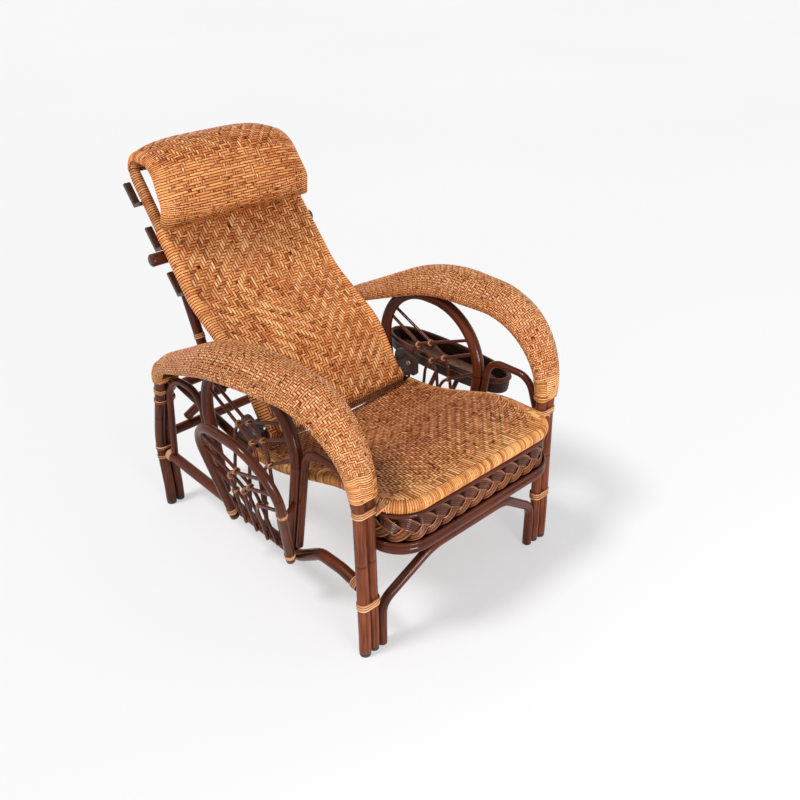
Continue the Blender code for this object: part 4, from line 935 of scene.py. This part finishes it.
FORWARD = (0.0, -1.0, 0.6)
panel = [between(STILES[side], 0.0, crossing(reached, PANEL_TOP)) for side, sign in SIDES]
grid = even_rows(saddle(*panel, STILE, STILE, lambda f: 0 * f, lambda path: np.tile(FORWARD, (len(path), 1)),
                        wrap=180, deep=bar_depth(panel[0])))
across, down = 66, row_count(grid, BACK_PITCH)
centre = round(0.64 * down)
plan = diamonds(np.arange(across) - across // 2 - 4, np.arange(down) - centre, over=3, under=2)
# round the stiles the level strands lie on top, worn pale
round_stile = from_edge(across) < 7
plan[round_stile] = False
woven("back", grid, FORWARD, plan, "back", "back_weave", (CANE, CANE_LEVEL), pale=(0.45 * round_stile)[:, None])


def roll_grid(radius):
    """The panel's weave carried on below it: straight down to the bottom roll, then round it and under it."""
    front = np.array((-START[1], START[0]))
    flush = (STILE / 2 + GAP) * WRAP + LIFT
    start = math.asin(flush / radius)
    angle = np.linspace(start + math.radians(235), start, 40)
    profile = np.column_stack([np.cos(angle), np.sin(angle)]) * radius
    profile = np.vstack([profile, [(ROLL / 2, flush)]])
    yz = np.array(BACK_FOOT) + profile[:, :1] * START + profile[:, 1:] * front
    x = np.linspace(-1, 1, 60) * (BACK_X + STILE / 2 + 0.002)
    rows = np.concatenate([np.broadcast_to(x[None, :, None], (len(yz), len(x), 1)),
                           np.broadcast_to(yz[:, None], (len(yz), len(x), 2))], axis=2)
    return even_rows(rows, 60)


grid = roll_grid(0.0160)
ends = BACK_X + STILE / 2
count, rows = round(2 * ends / 0.0082), row_count(grid, BACK_PITCH)
plan = diamonds(np.arange(count) - count // 2 - 4, np.arange(rows) - rows - centre, over=3, under=2)
woven("back_foot", grid, grid * (0, 1, 1) - (0, *BACK_FOOT), plan, "back", "back_bottom_roll", (CANE, CANE_LEVEL))
# painted shade: the core is dark, as it lies in shade under the weave
core = rod(level_run(ends, *BACK_FOOT), 0.029, UP, sides=20, tone=0.2, end=0.2, depth=0.7)
piece("back_foot_core", [core], CANE_LEVEL, "back", stands_for=["back_bottom_roll"])


def headrest_out(path):
    """Roughly outward from the middle of the headrest's hollow."""
    distance = up_stile(path)
    middle = LUMBAR + np.minimum(distance, BACK_LENGTH - 0.042)[:, None] * RISE - BEHIND * 0.018
    return np.column_stack([0 * distance, path[:, 1:] - middle])


grid = even_rows(saddle(*bows, STILE, STILE, lambda f: 0.030 * np.sqrt(np.clip(np.sin(math.pi * f), 0, 1)),
                        headrest_out, wrap=108, power=4))
count, rows = 66, row_count(grid, 0.0074)
hint = np.stack([headrest_out(grid[:, k]) for k in range(grid.shape[1])], axis=1)
plan = diamonds(np.arange(count) - count // 2, np.arange(rows) - rows // 3, over=2, under=3)
# low on the front the level strands run long, and single upright ones show between them
long_run = (np.arange(count)[:, None] + 3 * np.arange(rows)[None]) % 7 < 1
long_run ^= CHANCE.random(plan.shape) < 0.07
low_front = np.arange(rows)[None] / rows + 0.10 * (CHANCE.random((count, 1)) - 0.5) > 0.58
plan = np.where(low_front, long_run, plan)
round_bow = from_edge(count) < 5
plan[round_bow] = False
# painted shade on the last rows, darker towards the headrest's lower edge where it turns under
woven("headrest", grid, hint, plan, "back", "headrest_weave", (CANE, CANE_LEVEL),
      pale=0.30 * round_bow[:, None] + np.where(low_front, 0.28, -0.12),
      painted_shade=0.55 * smooth(np.arange(rows), rows - 9, rows)[None])


# ---- hooks and hinges

def eased(obj, width, segments):
    """Rounds the edges of an object over a width."""
    ease = obj.modifiers.new("eased", "BEVEL")
    ease.width, ease.segments = width, segments
    return ease


def hooks(side, sign):
    """Three hooks behind a stile: each a tilted foot and a strip that runs up from it, sawn to one outline."""
    points, faces = [], []
    for foot in HOOK_FEET:
        outline = [behind(foot + up, BAR + out) for up, out in (
            (0.0, -0.005), (HOOK_SLOPE * 0.030, 0.030), (0.079, 0.030), (0.079, 0.020),
            (0.010 + HOOK_SLOPE * 0.020, 0.020), (0.010, -0.005))]
        start, count = len(points), len(outline)
        for x in (HOOK_X - HOOK_WIDTH / 2, HOOK_X + HOOK_WIDTH / 2):
            points += [np.array((sign * x, *p)) + SHIFT for p in outline]
        near, far = (list(range(start + k * count, start + (k + 1) * count)) for k in (0, 1))
        faces += [near[::-sign], far[::sign]]
        faces += [[near[k], near[k + 1 - count], far[k + 1 - count], far[k]][::sign] for k in range(count)]
    name = f"hook_strips_{side}"
    data = bpy.data.meshes.new(name)
    data.from_pydata(points, [], faces)
    data.materials.append(SAWN)
    obj = linked(name, data)
    eased(obj, 0.0022, 3)
    settle(obj, "back", [f"back_hooks_{side}"])


def pressed_plate(node):
    """A copy of a hinge plate with its points merged and its edges eased."""
    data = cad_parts[node].data.copy()
    data.materials.clear()
    data.materials.append(STEEL)
    data.shade_flat()
    obj = linked(f"{node}_eased", data)
    obj.modifiers.new("merged", "WELD").merge_threshold = 0.00002
    ease = eased(obj, 0.0016, 2)
    ease.limit_method, ease.angle_limit = "ANGLE", math.radians(40)
    settle(obj, "frame", [node])


def turned(profile, middle, axis):
    """A turned piece: rings of the profile's radii at its heights along an axis, with flat ends."""
    axis = unit(np.asarray(axis, float))
    across = unit(np.cross(axis, (0.31, 0.52, 0.79)))
    radius, height = np.array(profile, float).T
    spoke = spokes(circle(24), across, np.cross(axis, across))
    rings = np.asarray(middle, float) + height[:, None, None] * axis + radius[:, None, None] * spoke
    return tubes(rings[None], height[None])


BOLT_HEAD = [(0.0068, 0.0), (0.0072, 0.0012), (0.0066, 0.0030), (0.0040, 0.0042), (0.0012, 0.0046)]
for side, sign in SIDES:
    hooks(side, sign)
    pressed_plate(f"hinge_plate_{side}")
for side, sign in SIDES:
    pin = np.array([(sign * x, *HINGE) for x in (BACK_X + WOUND / WRAP + GAP, SEAT_X + PLATE / 2 + 0.004)])
    piece(f"hinge_pin_{side}_turned", [rod(pin, PIN, UP, sides=20, step=0.004)], STEEL, "back",
          [f"hinge_pin_{side}"], crisp=40)
    bolts = [turned(BOLT_HEAD, (sign * (SEAT_X - PLATE / 2 + deep), HINGE[0] + y, HINGE[1] + z), (sign * way, 0, 0))
             for y, z in ((-0.032, -0.006), (0.030, -0.022)) for deep, way in ((0.0, -1), (PLATE, 1))]
    piece(f"hinge_bolts_{side}", bolts, BOLT, crisp=35)


# ---- prop

clear = PROP_ROD / 2 + GAP
rod_at = behind(HOOK_FEET[1] + clear * (HOOK_SLOPE - math.hypot(1.0, HOOK_SLOPE)), BAR + clear)
pole("prop_rod", level_run(0.266, *rod_at), PROP_ROD, UP, "prop")
PIVOT = np.array([AXLE_Y, float(seat_side(AXLE_Y)[1])])
reach = unit(rod_at - PIVOT)
leg_top = rod_at - reach * (PROP_ROD / 2 + 2 * GAP)
knot = PIVOT + reach * 0.152
sleeve_out, sleeve_in = AXLE / 2 + 0.0065, AXLE / 2 + 0.0006
section = np.array([(sleeve_out - 0.001, -0.021), (sleeve_out, -0.020), (sleeve_out, 0.020),
                    (sleeve_out - 0.001, 0.021), (sleeve_in, 0.021), (sleeve_in, -0.021)])
turn = circle(28)
spoke = np.column_stack([0 * turn, np.cos(turn), np.sin(turn)])
for side, sign in SIDES:
    x = sign * 0.199
    low = PIVOT + reach * (AXLE / 2 + 0.0052)
    leg = rod(np.array([(x, *low), (x, *leg_top)]), PROP_LEG, ACROSS, end=0.03)
    rings = np.array([x, *PIVOT]) + section[None, :, :1] * spoke[:, None] + section[None, :, 1:] * np.array(ACROSS)
    sleeve = tubes(rings[None, ::-1], (turn * 0.02)[None], loop=True)
    piece(f"prop_leg_{side}_pole", [leg, sleeve], STAINED, "prop", [f"prop_leg_{side}"], crisp=40)
    bands = []
    for low, high, strand in ((knot - reach * 0.007, knot + reach * 0.007, 0.0047),
                              (leg_top - reach * 0.016, leg_top - reach * 0.001, 0.0050)):
        run = evenly(np.array([(x, *low), (x, *high)]), 0.002)
        bands.append(winding(run, run, ACROSS, PROP_LEG / 2 + GAP, strand, bulge=0.0014))
    piece(f"prop_leg_bands_{side}", bands, BINDING, "prop")


# ---- magazine rack and tray

def rack_point(y, z):
    """A point of the rack's leaning plane, outside the left rail."""
    base = LEG_X + (RAIL + RACK) / 2 + GAP
    return np.array((-(base + RACK_LEAN * (z - rail_height(RACK_FEET[0]))), y, z))


LEANING = (1, 0, RACK_LEAN)
front_foot, rear_foot = (rack_point(y, rail_height(y)) for y in RACK_FEET)
rack = bend([front_foot, rack_point(RACK_FRONT, RACK_TOP), rack_point(RACK_REAR, RACK_TOP), rear_foot], [0.120, 0.110])
pole("rack_hoop", rack, RACK, LEANING, finish=FINE)
foot_x = -(LEG_X + (RAIL + STICK) / 2 + LAYER + 2 * GAP)
sets = [[bowed(nearest(rack, rack_point(edge_y, z)), (foot_x, y, rail_height(y) + 0.008), LEANING) + (layer, 0, 0)
         for z, y in zip(np.linspace(0.465, 0.335, 3), np.linspace(*feet))]
        for edge_y, feet, layer in ((RACK_FRONT, (0.435, 0.345, 3), -LAYER), (RACK_REAR, (0.312, 0.395, 3), LAYER))]
trellis("rack_sticks", "rack_stick_lashings", "rack_trellis", sets, LEANING)
spots = [rack_point(y, rail_height(y) + 0.026) for y in RACK_FEET] + [rack_point(0.203, 0.331)]
piece("rack_lashings", [band(rack, spot, 3, RACK / 2 + GAP) for spot in spots], BINDING)
wheel_spot = np.array((-LEG_X, wheel_front(0.310), 0.310))
rack_spot = nearest(rack, rack_point(RACK_FEET[0], 0.310))
reach = unit(rack_spot - wheel_spot)
spacer = np.array([wheel_spot + reach * (WHEEL / 2 + GAP), rack_spot - reach * (RACK / 2 + 0.002)])
piece("rack_spacer_pole", [rod(spacer, SPACER, UP, sides=14)], STAINED, "frame", ["rack_spacer"],
      crisp=50)


def oval(width, length, z):
    """A long rounded outline round the middle of the tray at a height: a superellipse with power 2.5."""
    c, s = np.cos(circle(96)), np.sin(circle(96))
    return np.column_stack([TRAY_X + width / 2 * np.sign(c) * np.abs(c) ** 0.8,
                            TRAY_Y + length / 2 * np.sign(s) * np.abs(s) ** 0.8, np.full(96, z)])


def tray_pan():
    """The walled pan: ovals stacked from the middle of the floor out, up the wall, over it and back underneath."""
    floor, bed, rim = TRAY_FLOOR, TRAY_FLOOR + TRAY_WALL, TRAY_FLOOR + TRAY_DEPTH
    waist = floor + TRAY_DEPTH * 0.5
    stack = [(0.02, bed), (0.5, bed), (0.80, bed), (0.90, bed + 0.001), (0.925, bed + 0.006), (0.955, waist),
             (0.985, rim), (1.0, rim), (0.975, waist), (0.945, floor + 0.006), (0.92, floor + 0.001), (0.85, floor),
             (0.5, floor), (0.02, floor)]
    insets = [((1 - share) * TRAY_WIDTH, z) for share, z in stack]
    return np.array([oval(max(TRAY_WIDTH - inset, 0.004), max(TRAY_LENGTH - inset, 0.004), z) for inset, z in insets])


pan = tray_pan()
piece("tray_pan_woven", [tubes(pan[None], np.linspace(0, 0.3, len(pan))[None])], PAN, "frame",
      ["tray_pan"], crisp=60)
flare = math.sin(math.atan2(0.009, TRAY_DEPTH))
rim = oval(TRAY_WIDTH - 0.005, TRAY_LENGTH - 0.005,
           TRAY_FLOOR + TRAY_DEPTH + TRAY_WALL * flare + TRAY_RIM / 2 + GAP)
piece("tray_rim_pole", [rod(rim, TRAY_RIM, UP, sides=14, step=0.008, loop=True)], FINE, "frame",
      ["tray_rim"])


def tray_bed():
    """The woven bed just above the pan's floor: the lines across it end on a superellipse of power 2.5."""
    u, v = np.meshgrid(np.linspace(-0.93, 0.93, 60), np.linspace(-1, 1, 120))
    reach = (1 - np.abs(u) ** 2.5) ** 0.4
    x = TRAY_X + 0.046 * u
    y = TRAY_Y + 0.212 * v * (reach + (1 - reach) * (1 - np.abs(v)) * 0.5)
    return np.stack([x, y, np.full(x.shape, TRAY_FLOOR + TRAY_WALL + 0.0018)], axis=-1)


plan = diamonds(np.arange(20) + 40, np.arange(94), over=2, under=2)
woven("tray_bed", tray_bed(), UP, plan, "frame", "tray_pan", (MESH_BED, MESH_BED), lift=0.0006)
strut_x = LEG_X + (RAIL + STRUT) / 2 + GAP
under = TRAY_FLOOR - STRUT / 2 - GAP
for end, y in (("front", 0.366), ("rear", 0.446)):
    run = bend([(strut_x, y, rail_height(y) - RAIL / 2), (strut_x, y, under - 0.060), (0.378, y, under),
                (0.420, y, under)], [0.040, 0.030])
    pole(f"tray_strut_{end}", run, STRUT, REARWARD)


# ---- bindings

def leg_band(side, level, turns, rear, radius=0.0152, strand=0.0052):
    """Cane wound a few turns round both poles of a front leg, or of a rear one, at a height."""
    half = turns * strand / 2
    runs = []
    for leg in (ARMS[side, "inner"], ARMS[side, "outer"]):
        where = np.interp(crossing(leg[:, 2], level, last=rear), np.arange(len(leg)), along(leg))
        runs.append(at(leg, where + np.linspace(-half, half, 9)))
    return winding(*runs, ACROSS, radius, strand, bulge=0.0020, sides=28)


# Each with its height and turns, its leg, and where they differ its radius and strand
FRONT, REAR = False, True
BANDS = ((0.150, 3, FRONT, 0.0152, 0.0068), (0.404, 3, FRONT, 0.0152, 0.0060), (0.158, 2, REAR), (0.187, 2, REAR),
         (0.352, 2, REAR), (0.388, 3, REAR))
CUFFS = ((0.474, 10, FRONT, 0.0170, 0.0045), (0.446, 2, FRONT, 0.0176, 0.0058), (0.437, 4, REAR, 0.0174, 0.0060))
for side, sign in SIDES:
    bands = [leg_band(side, *place) for place in BANDS]
    bands += [band(RAILS[side], RAILS[side][end], 4, RAIL / 2 + GAP) for end in (-1, 0)]
    cuffs = [leg_band(side, *place) for place in CUFFS]
    # strands of cane from the corner of the seat down to the leg
    for k in range(5):
        leg_end = np.array((LEG_X - 0.012 - 0.004 * k, -0.016 + 0.002 * k, 0.400 + 0.003 * k))
        roll_end = np.array((SEAT_X - 0.006, -0.022 + 0.007 * k, SEAT_HIGH + 0.0135))
        middle = (leg_end + roll_end) / 2 + np.array((0.006, -0.006, 0.006))
        low = np.array((SEAT_X + 0.004, -0.020 + 0.007 * k, SEAT_HIGH - 0.010))
        path = bend([leg_end, middle, roll_end, low], [0.03, 0.006]) * (sign, 1, 1)
        bands.append(rod(path, 0.0040, UP, sides=8, step=0.004, tone=CHANCE.random()))
    piece(f"leg_bands_{side}", bands, BINDING)
    piece(f"arm_cuffs_{side}", cuffs, EDGE_CANE)


# ---- glides

for side, sign in SIDES:
    for ring, thick in (("outer", OUTER_ARM), ("inner", INNER_ARM)):
        for end, spot in (("front", ARMS[side, ring][0]), ("rear", ARMS[side, ring][-1])):
            r = thick / 2 - 0.001
            disc = [(0.0008, 0.0), (r - 0.002, 0.0), (r - 0.0006, 0.0008), (r, 0.0024), (r, GLIDE - 0.001),
                    (r - 0.001, GLIDE), (0.0008, GLIDE)]
            name = f"glide_{end}_{ring}_{side}"
            foot = turned(disc, (*spot[:2], 0.0), UP)
            piece(f"{name}_turned", [foot], RUBBER, "frame", [name], crisp=40)


# ---- studio

def shown(t):
    """One for what the camera sees, straight or in gloss or glass."""
    camera, gloss, glass = (t.add("ShaderNodeLightPath", {}, {}, f"Is {ray} Ray")
                            for ray in ("Camera", "Glossy", "Transmission"))
    return t.sum("MAXIMUM", t.sum("MAXIMUM", camera, gloss), glass)


def floor_paint(t):
    """A near white floor: for the camera about half of it glows, so the shadows on it stay faint."""
    black = (0, 0, 0)
    cloud = t.noise(t.object_place(), 0.4)
    pale = cloud.ramp(0.3, 0.7).mixed((0.86, 0.86, 0.862), (0.88, 0.88, 0.882))
    seen = shown(t)
    return {"Base Color": (seen * 0.56).mixed(pale, black),
            "Emission Color": seen.mixed(black, (0.484, 0.481, 0.484))}


def aimed(name, data, place, direction):
    """A lamp or camera at a place, turned in a direction."""
    obj = linked(name, data)
    obj.location = place
    obj.rotation_euler = direction.to_track_quat("-Z", "Y").to_euler()
    return obj


FLOOR_REACH = 40
data = bpy.data.meshes.new("studio_floor")
data.from_pydata([(x * FLOOR_REACH, y * FLOOR_REACH, 0) for x, y in ((-1, -1), (1, -1), (1, 1), (-1, 1))], [],
                 [(0, 1, 2, 3)])
floor = linked("studio_floor", data)
data.materials.append(finish("pale_floor", floor_paint, roughness=0.9, specular_ior_level=0.1, emission_strength=1.0))

world = bpy.data.worlds.new("studio_light")
bpy.context.scene.world = world
world.use_nodes = True
glow = shown(Tint(world.node_tree)).mixed((0.49, 0.494, 0.505), (0.935, 0.935, 0.935))
world.node_tree.links.new(glow.socket, world.node_tree.nodes["Background"].inputs["Color"])

sun = bpy.data.lights.new("soft_key", "SUN")
sun.energy, sun.angle = 2.4, math.radians(14)
aimed("soft_key", sun, (0, 0, 0), Vector((0.85, -0.27, -1.5)))
strip = bpy.data.lights.new("front_strip", "AREA")
strip.energy, strip.size = 120, 1.3
strip_place = Vector((-0.8, -4.2, 0.8))
aimed("front_strip", strip, strip_place, Vector((0.0, -0.4, 0.35)) - strip_place)

# The camera as solved from the photo's own lines
AZIMUTH, ELEVATION, DISTANCE = math.radians(-44.012), math.radians(29.826), 2.5
FOCUS, PHOTO_WIDTH = 925.25, 800  # in pixels
away = Vector((math.sin(AZIMUTH) * math.cos(ELEVATION), -math.cos(AZIMUTH) * math.cos(ELEVATION), math.sin(ELEVATION)))
target = Vector((0.132, 0.356, 0.361)) + Vector(SHIFT)
lens = bpy.data.cameras.new("photo_view")
lens.sensor_width = 36.0
lens.lens = FOCUS / PHOTO_WIDTH * lens.sensor_width
bpy.context.scene.camera = aimed("photo_view", lens, target + away * DISTANCE, -away)
bpy.context.scene.view_settings.view_transform = "Standard"
